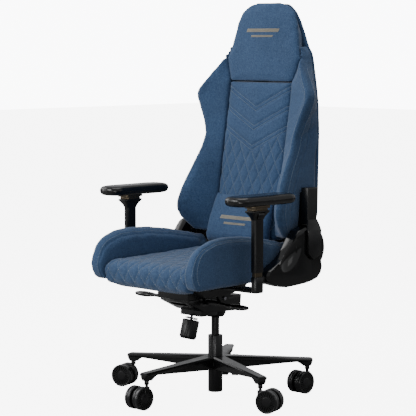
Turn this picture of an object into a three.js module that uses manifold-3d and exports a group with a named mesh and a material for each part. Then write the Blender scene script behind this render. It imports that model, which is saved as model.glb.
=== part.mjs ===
// A high-backed gaming chair: bucket seat, reclining back, adjustable armrests, gas lift and five casters.
// Millimetres, +Z up. The sitter faces -Y, so the sitter's left side is +X. The floor is z = 0.
// Every shape is laid out from the axis of the gas lift. The chair group moves it all to the footprint's centre.
import * as THREE from "three";
import { mergeVertices } from "three/addons/utils/BufferGeometryUtils.js";
import Module from "manifold-3d";

const wasm = await Module();
wasm.setup();

// ---- Driving dimensions ----
const COLUMN_Y = 29; // from the centre of the footprint back to the gas lift
const GAP = 0.3; // between pieces that are fixed together
const RUNNING = 0.4; // radial clearance of a turning fit

const LEG_COUNT = 5;
const FIRST_LEG = 270; // degrees, the leg that points straight ahead
const BASE_RADIUS = 340; // to the tip of a leg
const LEG_WIDTH = 36;
const HUB_TOP = 137;
const HUB_BOTTOM = 90;
const LEG_TIP_TOP = 118.5;
const STEM_RADIUS = 323; // from the column to a caster's stem

const WHEEL_RADIUS = 39;
const WHEEL_SIDES = 24; // a flat facet lies on the floor
const CASTER_TRAIL = 34;
const CASTER_WIDTH = 60;
const CASTER_HEADINGS = [270, 18, 270, 126, 198]; // where each caster trails, degrees

const COLUMN_RADIUS = 25;
const COLUMN_BOTTOM = 11.3;
const COLUMN_TOP = 208.5;
const CYLINDER_RADIUS = 14;

const PLATE_HALF_WIDTH = 73; // seat plate over the tilt mechanism
const PLATE_FRONT = -203;
const PLATE_TOP = 396;
const TILT_PIVOT = { y: -30, z: 344 };
const LEVER = { y: -120, z: 341, pivot: 54, tip: 268 };
const KNOB = { y: -125, z: 241, tilt: 16, radius: 29, length: 66 };

const PAN_BOTTOM = 403;
const PAN_TOP = 412;
const SEAT_FRONT = -340;
const SEAT_REAR = 118;

const RECLINE_PIVOT = { y: 170, z: 515 };
const RECLINER_RADIUS = 78; // round part of the seat side cover
const BACK_RAKE = 8.9; // degrees behind upright
const SHELL_THICKNESS = 18;
const PANEL_HALF_WIDTH = 148;
const HEAD_SEAM = 1072;
const BACK_TOP = 1347;

const ARM = { x: 305, y: -114, width: 26, depth: 42, socketTop: 446, sleeveBottom: 462 };
const PAD = { x: 302, y: -96, width: 95, length: 280, bottom: 682.3, top: 714 };

// ---- Finishes ----
const finish = (color, roughness, metalness) =>
  new THREE.MeshStandardMaterial({ color, roughness, metalness });
const wovenFabric = finish(0x46628a, 0.9, 0);
const blackPaint = finish(0x17181a, 0.38, 0.6);
const blackPlastic = finish(0x121314, 0.5, 0);
const glossPlastic = finish(0x0c0c0e, 0.22, 0);
const softPad = finish(0x141416, 0.45, 0);
const tyre = finish(0x18191b, 0.3, 0);
const bronze = finish(0x6d6251, 0.35, 0.85);
const bareSteel = finish(0x8d9094, 0.3, 0.9);

// ---- Shaping helpers ----
const radians = THREE.MathUtils.degToRad;

// Sign of the enclosed volume: negative when the faces point inwards.
function signedVolume(geometry) {
  const flat = geometry.index ? geometry.toNonIndexed() : geometry;
  const place = flat.getAttribute("position");
  const [a, b, c] = [new THREE.Vector3(), new THREE.Vector3(), new THREE.Vector3()];
  let total = 0;
  for (let i = 0; i < place.count; i += 3) {
    a.fromBufferAttribute(place, i);
    b.fromBufferAttribute(place, i + 1);
    c.fromBufferAttribute(place, i + 2);
    total += a.dot(b.cross(c));
  }
  return total;
}

function facingOut(geometry) {
  if (signedVolume(geometry) >= 0) return geometry;
  const flipped = geometry.index ? geometry : mergeVertices(geometry);
  const corners = flipped.index.array;
  for (let i = 0; i < corners.length; i += 3) {
    [corners[i + 1], corners[i + 2]] = [corners[i + 2], corners[i + 1]];
  }
  return flipped;
}

function bareOf(geometry) {
  geometry.deleteAttribute("normal");
  geometry.deleteAttribute("uv");
  return geometry;
}

function solidOf(geometry) {
  const closed = facingOut(mergeVertices(bareOf(geometry.clone()), 1e-3));
  const vertProperties = new Float32Array(closed.getAttribute("position").array);
  const triVerts = new Uint32Array(closed.index.array);
  return new wasm.Manifold(new wasm.Mesh({ numProp: 3, vertProperties, triVerts }));
}

function geometryOf(solid) {
  const mesh = solid.getMesh();
  const places = new THREE.BufferAttribute(new Float32Array(mesh.vertProperties), 3);
  const geometry = new THREE.BufferGeometry().setAttribute("position", places);
  geometry.setIndex(new THREE.BufferAttribute(new Uint32Array(mesh.triVerts), 1));
  geometry.computeVertexNormals();
  return geometry;
}

const joined = (...pieces) => geometryOf(pieces.map(solidOf).reduce((whole, piece) => whole.add(piece)));

const cutFrom = (body, ...tools) =>
  geometryOf(tools.map(solidOf).reduce((whole, tool) => whole.subtract(tool), solidOf(body)));

function box([x0, x1], [y0, y1], [z0, z1]) {
  const block = new THREE.BoxGeometry(x1 - x0, y1 - y0, z1 - z0);
  return block.translate((x0 + x1) / 2, (y0 + y1) / 2, (z0 + z1) / 2);
}

// A round bar along "x", "y" or "z" from one end to the other; the centre gives its other two coordinates.
function bar(axis, radius, from, to, centre, sides = 16) {
  const rod = new THREE.CylinderGeometry(radius, radius, to - from, sides);
  if (axis === "x") rod.rotateZ(-Math.PI / 2);
  if (axis === "z") rod.rotateX(Math.PI / 2);
  const middle = { ...centre, [axis]: (from + to) / 2 };
  return rod.translate(middle.x ?? 0, middle.y ?? 0, middle.z ?? 0);
}

// A turned piece standing on +Z: corners are [radius, height], and the profile closes on itself.
function turned(corners, sides = 24) {
  const profile = [...corners, corners[0]].map(([radius, height]) => new THREE.Vector2(radius, height));
  return new THREE.LatheGeometry(profile, sides).rotateX(Math.PI / 2);
}

// An outline whose corners are [x, y, rounding]. A rounding takes at most 45% of each edge beside it.
function outline(corners) {
  const shape = new THREE.Shape();
  corners.forEach(([x, y, rounding = 0], i) => {
    const corner = new THREE.Vector2(x, y);
    const towards = ([otherX, otherY]) => {
      const edge = new THREE.Vector2(otherX, otherY).sub(corner);
      return edge.clone().setLength(Math.min(rounding, 0.45 * edge.length())).add(corner);
    };
    const start = rounding ? towards(corners.at(i - 1)) : corner;
    if (i === 0) shape.moveTo(start.x, start.y);
    else shape.lineTo(start.x, start.y);
    if (rounding) {
      const end = towards(corners[(i + 1) % corners.length]);
      shape.quadraticCurveTo(x, y, end.x, end.y);
    }
  });
  return shape;
}

function extruded(corners, depth, bevel) {
  return new THREE.ExtrudeGeometry(outline(corners), {
    depth: depth - 2 * bevel,
    curveSegments: 3,
    bevelEnabled: bevel > 0,
    bevelThickness: bevel,
    bevelSize: bevel,
    bevelOffset: -bevel,
    bevelSegments: 1,
  }).translate(0, 0, bevel);
}

// A slab whose outline is drawn in the side view, [y, z], and which is x0 to x1 thick.
function sideSlab(corners, x0, x1, bevel = 0) {
  const slab = extruded(corners, x1 - x0, bevel);
  const turn = new THREE.Matrix4().makeBasis(
    new THREE.Vector3(0, 1, 0),
    new THREE.Vector3(0, 0, 1),
    new THREE.Vector3(1, 0, 0),
  );
  return slab.applyMatrix4(turn).translate(x0, 0, 0);
}

// A slab whose outline is drawn in plan, [x, y], and which is z0 to z1 thick.
const planSlab = (corners, z0, z1, bevel = 0) => extruded(corners, z1 - z0, bevel).translate(0, 0, z0);

// A solid skinned over rings of points, with flat ends. Every ring has the same number of [x, y, z] points.
function loft(rings) {
  const size = rings[0].length;
  const middle = (ring) => [0, 1, 2].map((k) => ring.reduce((sum, point) => sum + point[k], 0) / size);
  const places = [...rings.flat(), middle(rings[0]), middle(rings.at(-1))];
  const firstEnd = places.length - 2;
  const lastEnd = places.length - 1;
  const faces = [];
  for (let j = 0; j < size; j += 1) {
    const next = (j + 1) % size;
    for (let i = 0; i + 1 < rings.length; i += 1) {
      const [a, b] = [i * size + j, i * size + next];
      faces.push(a, b, b + size, a, b + size, a + size);
    }
    const top = (rings.length - 1) * size;
    faces.push(firstEnd, next, j, lastEnd, top + j, top + next);
  }
  const geometry = new THREE.BufferGeometry();
  geometry.setAttribute("position", new THREE.Float32BufferAttribute(places.flat(), 3));
  geometry.setIndex(faces);
  return facingOut(geometry);
}

const loftAlongY = (stations, section) => loft(stations.map((y) => section(y).map(([x, z]) => [x, y, z])));
const loftAlongZ = (levels, section) => loft(levels.map((z) => section(z).map(([x, y]) => [x, y, z])));

// A smooth curve through keys of [t, value, value...].
function curveThrough(keys) {
  const slope = (i, k) => {
    const before = keys[Math.max(i - 1, 0)];
    const after = keys[Math.min(i + 1, keys.length - 1)];
    return (after[k] - before[k]) / (after[0] - before[0]);
  };
  return (t) => {
    const last = keys.length - 2;
    const i = THREE.MathUtils.clamp(keys.findIndex((key) => key[0] > t) - 1, 0, last);
    const from = keys[keys.at(-1)[0] <= t ? last : i];
    const j = keys.indexOf(from);
    const to = keys[j + 1];
    const span = to[0] - from[0];
    const s = THREE.MathUtils.clamp((t - from[0]) / span, 0, 1);
    return from.slice(1).map((value, k) => {
      const start = value;
      const end = to[k + 1];
      const pull = s * (1 - s) ** 2 * span * slope(j, k + 1) - s * s * (1 - s) * span * slope(j + 1, k + 1);
      return start * (1 + 2 * s) * (1 - s) ** 2 + end * s * s * (3 - 2 * s) + pull;
    });
  };
}

// Straight lines between keys of [t, value].
function linesThrough(keys) {
  return (t) => {
    const i = THREE.MathUtils.clamp(keys.findIndex((key) => key[0] >= t), 1, keys.length - 1);
    const [t0, v0] = keys[t >= keys.at(-1)[0] ? keys.length - 2 : i - 1];
    const [t1, v1] = keys[t >= keys.at(-1)[0] ? keys.length - 1 : i];
    return v0 + (v1 - v0) * THREE.MathUtils.clamp((t - t0) / (t1 - t0), 0, 1);
  };
}

// A rectangle with cut corners as a ring of eight points.
function cutRectangle(x, y, width, depth, corner) {
  const [hx, hy] = [width / 2, depth / 2];
  const quarter = [
    [hx, hy - corner],
    [hx - corner, hy],
  ];
  const ring = [
    ...quarter,
    ...quarter.map(([a, b]) => [-a, b]).reverse(),
    ...quarter.map(([a, b]) => [-a, -b]),
    ...quarter.map(([a, b]) => [a, -b]).reverse(),
  ];
  return ring.map(([a, b]) => [x + a, y + b]);
}

// ---- The scene's groups ----
const chair = new THREE.Group();
chair.position.y = COLUMN_Y;
const leftSide = new THREE.Group();
const rightSide = new THREE.Group();
rightSide.scale.x = -1; // the same pieces, seen in a mirror
chair.add(leftSide, rightSide);

function place(name, geometry, material, group = chair) {
  const mesh = new THREE.Mesh(geometry, material);
  mesh.name = name;
  group.add(mesh);
  return mesh;
}

function placePair(name, geometry, material) {
  place(`${name}_left`, geometry, material, leftSide);
  place(`${name}_right`, geometry, material, rightSide);
}

// ---- Star base ----
function starLeg(angle) {
  const slope = (HUB_TOP - LEG_TIP_TOP) / (BASE_RADIUS - 31);
  const stations = [
    [18, 50, 92],
    [60, 46, 93],
    [217, 40, 103],
    [298, LEG_WIDTH, 107],
    [330, LEG_WIDTH, 100],
    [BASE_RADIUS - 3, LEG_WIDTH - 8, 101],
    [BASE_RADIUS, LEG_WIDTH - 16, 104],
  ];
  const rings = stations.map(([radius, width, bottom]) => {
    const top = HUB_TOP - slope * (radius - 31);
    const chamfer = 5;
    return [
      [radius, -width * 0.36, bottom],
      [radius, width * 0.36, bottom],
      [radius, width / 2, bottom + chamfer],
      [radius, width / 2, top - chamfer],
      [radius, width / 2 - chamfer, top],
      [radius, -width / 2 + chamfer, top],
      [radius, -width / 2, top - chamfer],
      [radius, -width / 2, bottom + chamfer],
    ];
  });
  const boss = turned([[0, 90], [13, 90], [16, 96], [16, 112], [0, 112]], 12).translate(STEM_RADIUS, 0, 0);
  return joined(loft(rings), boss).rotateZ(radians(angle));
}

const legAngles = Array.from({ length: LEG_COUNT }, (_, i) => FIRST_LEG + (i * 360) / LEG_COUNT);
const stemPlaces = legAngles.map((angle) => ({
  x: STEM_RADIUS * Math.cos(radians(angle)),
  y: STEM_RADIUS * Math.sin(radians(angle)),
}));
const hub = turned([[0, HUB_BOTTOM], [31, HUB_BOTTOM], [33, 98], [36, 104], [36, HUB_TOP], [0, HUB_TOP]]);
const columnBore = bar("z", COLUMN_RADIUS + GAP, 80, 150, {}, 24);
const stemBores = stemPlaces.map((spot) => bar("z", 5.5 + RUNNING, 80, 114, spot, 12));
place("star_base", cutFrom(joined(hub, ...legAngles.map(starLeg)), columnBore, ...stemBores), blackPaint);

// ---- Casters ----
// In a caster's own frame the stem stands on z, the wheels trail along +x and the axle lies along y.
const casterHousing = joined(
  bar("z", 5.5, 64, 112, {}, 12),
  bar("z", 8.5, 79, HUB_BOTTOM - GAP, {}, 12),
  bar("y", 32, -6.2, 6.2, { x: CASTER_TRAIL, z: WHEEL_RADIUS }, 16),
  box([-8.5, CASTER_TRAIL], [-6.2, 6.2], [44, 71]),
  bar("y", 4, 1 - CASTER_WIDTH / 2, CASTER_WIDTH / 2 - 1, { x: CASTER_TRAIL, z: WHEEL_RADIUS }, 8),
);

function casterWheel(side) {
  const rim = WHEEL_RADIUS / Math.cos(Math.PI / WHEEL_SIDES);
  const outer = CASTER_WIDTH / 2;
  const corners = [
    [4.5, 6.8],
    [rim, 6.8],
    [rim, outer],
    [rim - 8, outer],
    [rim - 10, outer - 3],
    [4.5, outer - 3],
  ];
  const profile = [...corners, corners[0]].map(([radius, depth]) => new THREE.Vector2(radius, side * depth));
  const wheel = new THREE.LatheGeometry(profile, WHEEL_SIDES, Math.PI / WHEEL_SIDES);
  return facingOut(mergeVertices(bareOf(wheel), 1e-3)).translate(CASTER_TRAIL, 0, WHEEL_RADIUS);
}

stemPlaces.forEach((spot, i) => {
  const caster = new THREE.Group();
  caster.position.set(spot.x, spot.y, 0);
  caster.rotation.z = radians(CASTER_HEADINGS[i]);
  chair.add(caster);
  place(`caster_${i + 1}_housing`, casterHousing, glossPlastic, caster);
  place(`caster_${i + 1}_wheel_a`, casterWheel(1), tyre, caster);
  place(`caster_${i + 1}_wheel_b`, casterWheel(-1), tyre, caster);
});

// ---- Gas lift ----
const columnTube = turned([
  [3, COLUMN_BOTTOM],
  [COLUMN_RADIUS, COLUMN_BOTTOM],
  [COLUMN_RADIUS, COLUMN_TOP],
  [22, COLUMN_TOP],
  [22, 16],
  [3, 16],
]);
place("gas_lift_column", columnTube, blackPaint);

const guideBore = CYLINDER_RADIUS + RUNNING;
const guideSleeve = turned([
  [guideBore, 120],
  [21.7, 120],
  [21.7, COLUMN_TOP - 1],
  [guideBore, COLUMN_TOP - 1],
]);
place("gas_lift_guide", guideSleeve, blackPlastic);

// The rod stands on a thrust washer in the column, and its tail goes through the column's floor.
const rod = joined(
  bar("z", 5, 17, 190, {}, 16),
  bar("z", 12, 16.4, 21, {}, 16),
  bar("z", 2.6, 11.8, 18, {}, 16),
);
place("gas_lift_rod", rod, bareSteel);

const cylinderTop = 334;
const cylinder = turned([
  [5 + 0.6, 95],
  [CYLINDER_RADIUS, 95],
  [CYLINDER_RADIUS, cylinderTop],
  [0, cylinderTop],
  [0, 290],
  [5 + 0.6, 290],
]);
place("gas_lift_cylinder", cylinder, blackPaint);

// ---- Tilt mechanism ----
const knobAxis = new THREE.Vector3(0, Math.sin(radians(KNOB.tilt)), Math.cos(radians(KNOB.tilt)));

// Turns a piece made along +Z about the origin into the knob's tilted line, centred on the knob.
const onKnobAxis = (geometry) => geometry.rotateX(-radians(KNOB.tilt)).translate(0, KNOB.y, KNOB.z);

const housingSides = [
  [-196, 350],
  [-196, 344],
  [-118, 306],
  [-60, 300],
  [40, 296],
  [56, 304],
  [60, 350],
];
const collar = turned([[0, 273], [29, 273], [36, 284], [38, 302], [0, 302]]);
const leverSlots = [-1, 1].map((side) => {
  const span = side > 0 ? [38, 70] : [-70, -38];
  return box(span, [LEVER.y - 7, LEVER.y + 7], [332, 360]);
});
const leverPinBores = [-1, 1].map((side) =>
  bar("y", 3 + RUNNING, LEVER.y - 17, LEVER.y + 17, { x: side * LEVER.pivot, z: LEVER.z }, 12),
);
const tiltHousing = cutFrom(
  joined(sideSlab(housingSides, -66, 66), box([-50, 50], [-117, -40], [287, 310]), collar),
  bar("z", CYLINDER_RADIUS + GAP, 260, cylinderTop + 2, {}, 24),
  bar("x", 6 + GAP, -70, 70, TILT_PIVOT),
  box([-40, 40], [-184, -48], [326, 360]),
  ...leverSlots,
  ...leverPinBores,
  onKnobAxis(bar("z", 4 + RUNNING, 20, 78, {}, 16)),
);
place("tilt_housing", tiltHousing, blackPaint);
place("tilt_shaft", bar("x", 6, -78, 78, TILT_PIVOT), bareSteel);

const flangeSides = [
  [PLATE_FRONT, 354],
  [-62, 354],
  [-46, 334, 6],
  [-14, 334, 6],
  [2, 356],
  [70, 372],
  [96, PLATE_TOP],
  [PLATE_FRONT, PLATE_TOP],
];
const plateThickness = 6;
const seatPlate = cutFrom(
  joined(
    box([-PLATE_HALF_WIDTH, PLATE_HALF_WIDTH], [PLATE_FRONT, 135], [PLATE_TOP - plateThickness, PLATE_TOP]),
    box([-PLATE_HALF_WIDTH, PLATE_HALF_WIDTH], [PLATE_FRONT, PLATE_FRONT + 4], [352, PLATE_TOP]),
    sideSlab(flangeSides, PLATE_HALF_WIDTH - 4, PLATE_HALF_WIDTH),
    sideSlab(flangeSides, -PLATE_HALF_WIDTH, 4 - PLATE_HALF_WIDTH),
    box([-155, 155], [-184, -142], [PLATE_TOP - plateThickness, PLATE_TOP]),
    box([-155, 155], [92, 132], [PLATE_TOP - plateThickness, PLATE_TOP]),
  ),
  bar("x", 6 + RUNNING, -80, 80, TILT_PIVOT),
);
place("seat_plate", seatPlate, blackPaint);

const tensionKnob = joined(
  turned([
    [0, -KNOB.length / 2],
    [KNOB.radius - 5, -KNOB.length / 2],
    [KNOB.radius, 6 - KNOB.length / 2],
    [KNOB.radius, KNOB.length / 2 - 3],
    [KNOB.radius - 4, KNOB.length / 2],
    [0, KNOB.length / 2],
  ], 24),
  bar("z", 4, 20, 76, {}, 16),
);
place("tension_knob", onKnobAxis(tensionKnob), blackPlastic);

// An open coil round the knob's screw, with its ends clear of the knob and the housing.
class CoilCurve extends THREE.Curve {
  constructor(radius, from, to, turns) {
    super();
    Object.assign(this, { radius, from, to, turns });
  }
  getPoint(t, target = new THREE.Vector3()) {
    const angle = 2 * Math.PI * this.turns * t;
    const height = this.from + (this.to - this.from) * t;
    return target.set(this.radius * Math.cos(angle), this.radius * Math.sin(angle), height);
  }
}
const wireRadius = 2;
const wireSection = new THREE.Shape().absarc(0, 0, wireRadius, 0, 2 * Math.PI);
const springTurns = 1.5;
const tensionSpring = new THREE.ExtrudeGeometry(wireSection, {
  steps: 24,
  curveSegments: 3,
  bevelEnabled: false,
  extrudePath: new CoilCurve(20, KNOB.length / 2 + 2.8, KNOB.length / 2 + 8.8, springTurns),
});
place("tension_spring", onKnobAxis(bareOf(tensionSpring)), bareSteel);

// Made for the +X side: a shaft from the housing, its cross pin, and a flat paddle to pull.
const paddle = loft([
  [176, 8, 5],
  [186, 13, 5],
  [212, 16, 4.5],
  [250, 16, 4.5],
  [264, 11, 4],
  [LEVER.tip, 5, 2.5],
].map(([x, halfWidth, halfHeight]) => [
  [x, LEVER.y - halfWidth, LEVER.z - halfHeight * 0.4],
  [x, LEVER.y - halfWidth * 0.7, LEVER.z - halfHeight],
  [x, LEVER.y + halfWidth * 0.7, LEVER.z - halfHeight],
  [x, LEVER.y + halfWidth, LEVER.z - halfHeight * 0.4],
  [x, LEVER.y + halfWidth * 0.7, LEVER.z + halfHeight],
  [x, LEVER.y - halfWidth * 0.7, LEVER.z + halfHeight],
]));
const mechanismLever = joined(
  bar("x", 5, 30, 182, LEVER, 12),
  loft([[78, 7, 5, 7], [90, 10, 6.5, 13], [160, 9, 5.5, 9], [196, 8, 4, 4]].map(([x, half, below, above]) => [
    [x, LEVER.y - half, LEVER.z - below],
    [x, LEVER.y + half, LEVER.z - below],
    [x, LEVER.y + half, LEVER.z + above * 0.5],
    [x, LEVER.y + half * 0.5, LEVER.z + above],
    [x, LEVER.y - half * 0.5, LEVER.z + above],
    [x, LEVER.y - half, LEVER.z + above * 0.5],
  ])),
  bar("y", 6.5, LEVER.y - 6, LEVER.y + 6, { x: LEVER.pivot, z: LEVER.z }, 16),
  bar("y", 3, LEVER.y - 15, LEVER.y + 15, { x: LEVER.pivot, z: LEVER.z }, 12),
  paddle,
);
place("tilt_lever", mechanismLever, glossPlastic, leftSide);
place("height_lever", mechanismLever, glossPlastic, rightSide);

// ---- Seat ----
const seatHalfWidth = (y) => 175.3 - 0.0667 * y; // seam between the cushion and a bolster

const [panFront, panRear] = [-288, 150];
const panHalfWidth = (y) => seatHalfWidth(y) - 7;
const panOutline = [
  [-panHalfWidth(panFront), panFront, 30],
  [panHalfWidth(panFront), panFront, 30],
  [panHalfWidth(panRear), panRear],
  [-panHalfWidth(panRear), panRear],
];
const panFeet = [-163, 112].flatMap((y) =>
  [-140, 140].map((x) => bar("z", 10, PLATE_TOP + GAP, PAN_TOP - 2, { x, y }, 12)),
);
place("seat_pan", joined(planSlab(panOutline, PAN_BOTTOM, PAN_TOP), ...panFeet), blackPlastic);

const cushionTop = linesThrough([
  [SEAT_FRONT, 452],
  [-337, 464],
  [-330, 472],
  [-318, 478],
  [-300, 481],
  [-200, 486],
  [-100, 490],
  [0, 494],
  [60, 496],
  [105, 495],
  [SEAT_REAR, 486],
]);
const lipRear = -290.4; // the cushion's front lip hangs in front of the pan
const cushionBottom = linesThrough([
  [SEAT_FRONT, 436],
  [-337, 419],
  [-330, 405],
  [-318, 398],
  [-300, 396],
  [-293, 396],
  [lipRear, PAN_TOP + GAP],
  [SEAT_REAR, PAN_TOP + GAP],
]);
const cushionStations = [
  SEAT_FRONT, -337, -330, -318, -300, -293, lipRear, -200, -100, 0, 60, 105, SEAT_REAR,
];
const seatCushion = loftAlongY(cushionStations, (y) => {
  const half = seatHalfWidth(y);
  const [bottom, top] = [cushionBottom(y), cushionTop(y)];
  return [
    [-half, bottom],
    [half, bottom],
    [half, top - 10],
    [half - 14, top - 2],
    [half / 2, top],
    [-half / 2, top],
    [14 - half, top - 2],
    [-half, top - 10],
  ];
});
place("seat_cushion", seatCushion, wovenFabric);

const bolsterStations = [-353, -349, -342, -333, -318, -300, -254, -196, -113, -26, 37, 73, 105, 132, 140];
const bolsterTop = linesThrough([
  [-353, 474],
  [-349, 496],
  [-342, 515],
  [-333, 533],
  [-318, 548],
  [-300, 559],
  [-254, 575],
  [-196, 581],
  [-113, 578],
  [-26, 567],
  [37, 554],
  [73, 548],
  [105, 539],
  [132, 536],
  [140, 524],
]);
const bolsterBottom = linesThrough([
  [-353, 458],
  [-349, 441],
  [-342, 426],
  [-333, 416],
  [-318, 411],
  [140, 411],
]);
const bolsterOuter = curveThrough([[-353, 247], [-254, 251], [-123, 246], [37, 228], [105, 220], [140, 214]]);
const seatBolster = loftAlongY(bolsterStations, (y) => {
  const [inner, outer] = [seatHalfWidth(y) + GAP, bolsterOuter(y)[0]];
  const [bottom, top] = [bolsterBottom(y), bolsterTop(y)];
  const width = outer - inner;
  const round = Math.min(22, (top - bottom) * 0.28);
  return [
    [inner, bottom],
    [outer - round / 3, bottom],
    [outer, bottom + round / 2],
    [outer, top - round],
    [outer - round * 0.3, top - round * 0.3],
    [outer - width * 0.35, top],
    [outer - width * 0.7, top - round * 0.35],
    [inner, top - round * 1.5],
  ];
});
placePair("seat_bolster", seatBolster, wovenFabric);

// ---- Backrest ----
const panelFront = (z) => 203 + Math.tan(radians(BACK_RAKE)) * (z - 976.6);
const backLevels = [
  520, 532, 545, 562, 590, 620, 650, 690, 730, 790, 840, 887, 935, 985, 1010, 1030,
  1050, HEAD_SEAM, 1092, 1110, 1130, 1150, 1172, 1195, 1240, 1281, 1313, 1332, 1341, BACK_TOP,
];
const levelsBetween = (low, high) => backLevels.filter((z) => z >= low && z <= high);
const shellRear = linesThrough([
  [520, 262],
  [620, 283],
  [730, 288],
  [1030, 299],
  [1150, 308],
  [1240, 307],
  [1281, 300],
  [1313, 294],
  [1332, 290],
  [BACK_TOP, 286],
]);
const shellFront = (z) => shellRear(z) - SHELL_THICKNESS;
const shellHalfWidth = linesThrough([
  [520, 192],
  [545, 209],
  [620, 224],
  [730, 222],
  [887, 221],
  [994, 214],
  [1030, 209],
  [1092, 194],
  [1150, 181],
  [1172, 175],
  [1195, 160],
  [1240, 141],
  [1281, 128],
  [1313, 113],
  [1332, 95],
  [1341, 80],
]);
const backShell = loftAlongZ(levelsBetween(520, 1341), (z) => {
  const [half, front, rear] = [shellHalfWidth(z), shellFront(z), shellRear(z)];
  return [
    [-half, front],
    [half, front],
    [half, rear - 7],
    [half - 8, rear],
    [0, rear + 7],
    [8 - half, rear],
    [-half, rear - 7],
  ];
});
place("back_shell", backShell, wovenFabric);

const crown = 4; // how far the middle of a padded panel stands out
const backCushion = loftAlongZ(levelsBetween(532, HEAD_SEAM), (z) => {
  const [front, rear] = [panelFront(z), shellFront(z) - GAP];
  return [
    [-PANEL_HALF_WIDTH, front + 6],
    [10 - PANEL_HALF_WIDTH, front],
    [0, front - crown],
    [PANEL_HALF_WIDTH - 10, front],
    [PANEL_HALF_WIDTH, front + 6],
    [PANEL_HALF_WIDTH, rear],
    [-PANEL_HALF_WIDTH, rear],
  ];
});
place("back_cushion", backCushion, wovenFabric);

// Half-widths of the head panel at its front edge and at the shell.
const headFrontHalf = linesThrough([
  [HEAD_SEAM, PANEL_HALF_WIDTH],
  [1150, 176],
  [1195, 162],
  [1240, 152],
  [1281, 143],
  [1313, 128],
  [1332, 105],
  [1341, 84],
  [BACK_TOP, 60],
]);
const headRearHalf = linesThrough([
  [HEAD_SEAM, PANEL_HALF_WIDTH],
  [1150, 150],
  [1195, 139],
  [1240, 134],
  [1281, 121],
  [1313, 107],
  [1332, 90],
  [1341, 74],
  [BACK_TOP, 55],
]);
const headShape = (grown, side = 1) => loft(
  levelsBetween(HEAD_SEAM, BACK_TOP).map((z) => {
    const level = z === HEAD_SEAM ? HEAD_SEAM + GAP * 2 - grown : z;
    const [front, rear] = [panelFront(z), shellFront(z) - GAP + grown];
    const [half, rearHalf] = [headFrontHalf(z) + grown, headRearHalf(z) + grown];
    return [
      [-half, front + 7, level],
      [10 - half, front, level],
      [0, front - crown, level],
      [half - 10, front, level],
      [half, front + 7, level],
      [rearHalf, rear, level],
      [-rearHalf, rear, level],
    ].map(([x, y]) => [side * x, y, level]);
  }),
);
place("head_cushion", headShape(0), wovenFabric);

// Front edge of a wing: [z, x, y].
const wingEdge = curveThrough([
  [545, 221, 111],
  [590, 243, 62],
  [630, 250, 44],
  [693, 243, 60],
  [760, 232, 92],
  [850, 221, 146],
  [887, 217, 158],
  [960, 245, 166],
  [1019, 271, 169],
  [1044, 266, 171],
  [1090, 229, 188],
  [1150, 183, 219],
  [1195, 166, 246],
]);
const wingShape = loftAlongZ(levelsBetween(545, 1195), (z) => {
  const seam = headFrontHalf(z) + 2 * GAP;
  const [edgeX, edgeY] = wingEdge(z);
  const rim = Math.min(30, (edgeX - seam) * 0.35);
  return [
    [seam, panelFront(z) + 2],
    [edgeX - rim, edgeY + rim * 0.45],
    [edgeX - rim * 0.35, edgeY],
    [edgeX, edgeY + rim * 0.4],
    [edgeX, edgeY + rim * 1.2],
    [shellHalfWidth(z), shellFront(z) - GAP],
    [headRearHalf(z) + 2 * GAP, shellFront(z) - GAP],
  ];
});
const backWing = cutFrom(wingShape, headShape(2 * GAP), headShape(2 * GAP, -1));
placePair("back_wing", backWing, wovenFabric);

// A trim panel closes the back's underside, clear of the release rod.
const basePanel = { half: 188, rod: 196, bottom: 502, top: 531.3 };
const basePanelRear = shellFront(520) - 2 * GAP;
const backBasePanel = joined(
  box([-basePanel.half, basePanel.half], [basePanel.rod, basePanelRear], [basePanel.bottom, 514]),
  box([-PANEL_HALF_WIDTH, PANEL_HALF_WIDTH], [basePanel.rod, basePanelRear], [basePanel.bottom, basePanel.top]),
);
place("back_base_panel", backBasePanel, blackPlastic);

const pillowFront = linesThrough([
  [505, 110],
  [511, 97],
  [523, 88],
  [545, 87],
  [575, 96],
  [610, 109],
  [645, 124],
  [670, 137],
  [684, 148],
]);
const lumbarPillow = loftAlongZ([505, 511, 523, 545, 575, 610, 645, 670, 684], (z) => {
  const [front, rear] = [pillowFront(z), panelFront(z) - crown - 0.8];
  const middle = (front + rear) / 2;
  return [
    [-143, rear],
    [-150, middle],
    [-138, front + 3],
    [0, front - 3],
    [138, front + 3],
    [150, middle],
    [143, rear],
  ];
});
place("lumbar_pillow", lumbarPillow, wovenFabric);

// ---- Recliner ----
const pivotDisc = (radius, x0, x1, sides = 20) => bar("x", radius, x0, x1, RECLINE_PIVOT, sides);
const pivotBore = (clearance, x0, x1) => pivotDisc(5 + clearance, x0, x1, 16);

const seatBracket = cutFrom(
  joined(
    sideSlab([[40, 396.5], [158, 396.5], [190, 460], [197, 515], [143, 515], [120, 470]], 232, 237.5),
    pivotDisc(27, 232, 237.5),
    box([150, 237.5], [42, 86], [396.5, PAN_BOTTOM - GAP]),
  ),
  pivotBore(RUNNING, 225, 240),
);
placePair("recliner_bracket", seatBracket, blackPaint);

const backBracket = cutFrom(
  joined(
    sideSlab([[144, 515], [196, 515], [202, 600], [206, 704], [164, 704], [156, 600]], 239, 244.5),
    pivotDisc(27, 239, 244.5),
  ),
  pivotBore(RUNNING, 235, 250),
);
placePair("back_bracket", backBracket, blackPaint);

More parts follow.
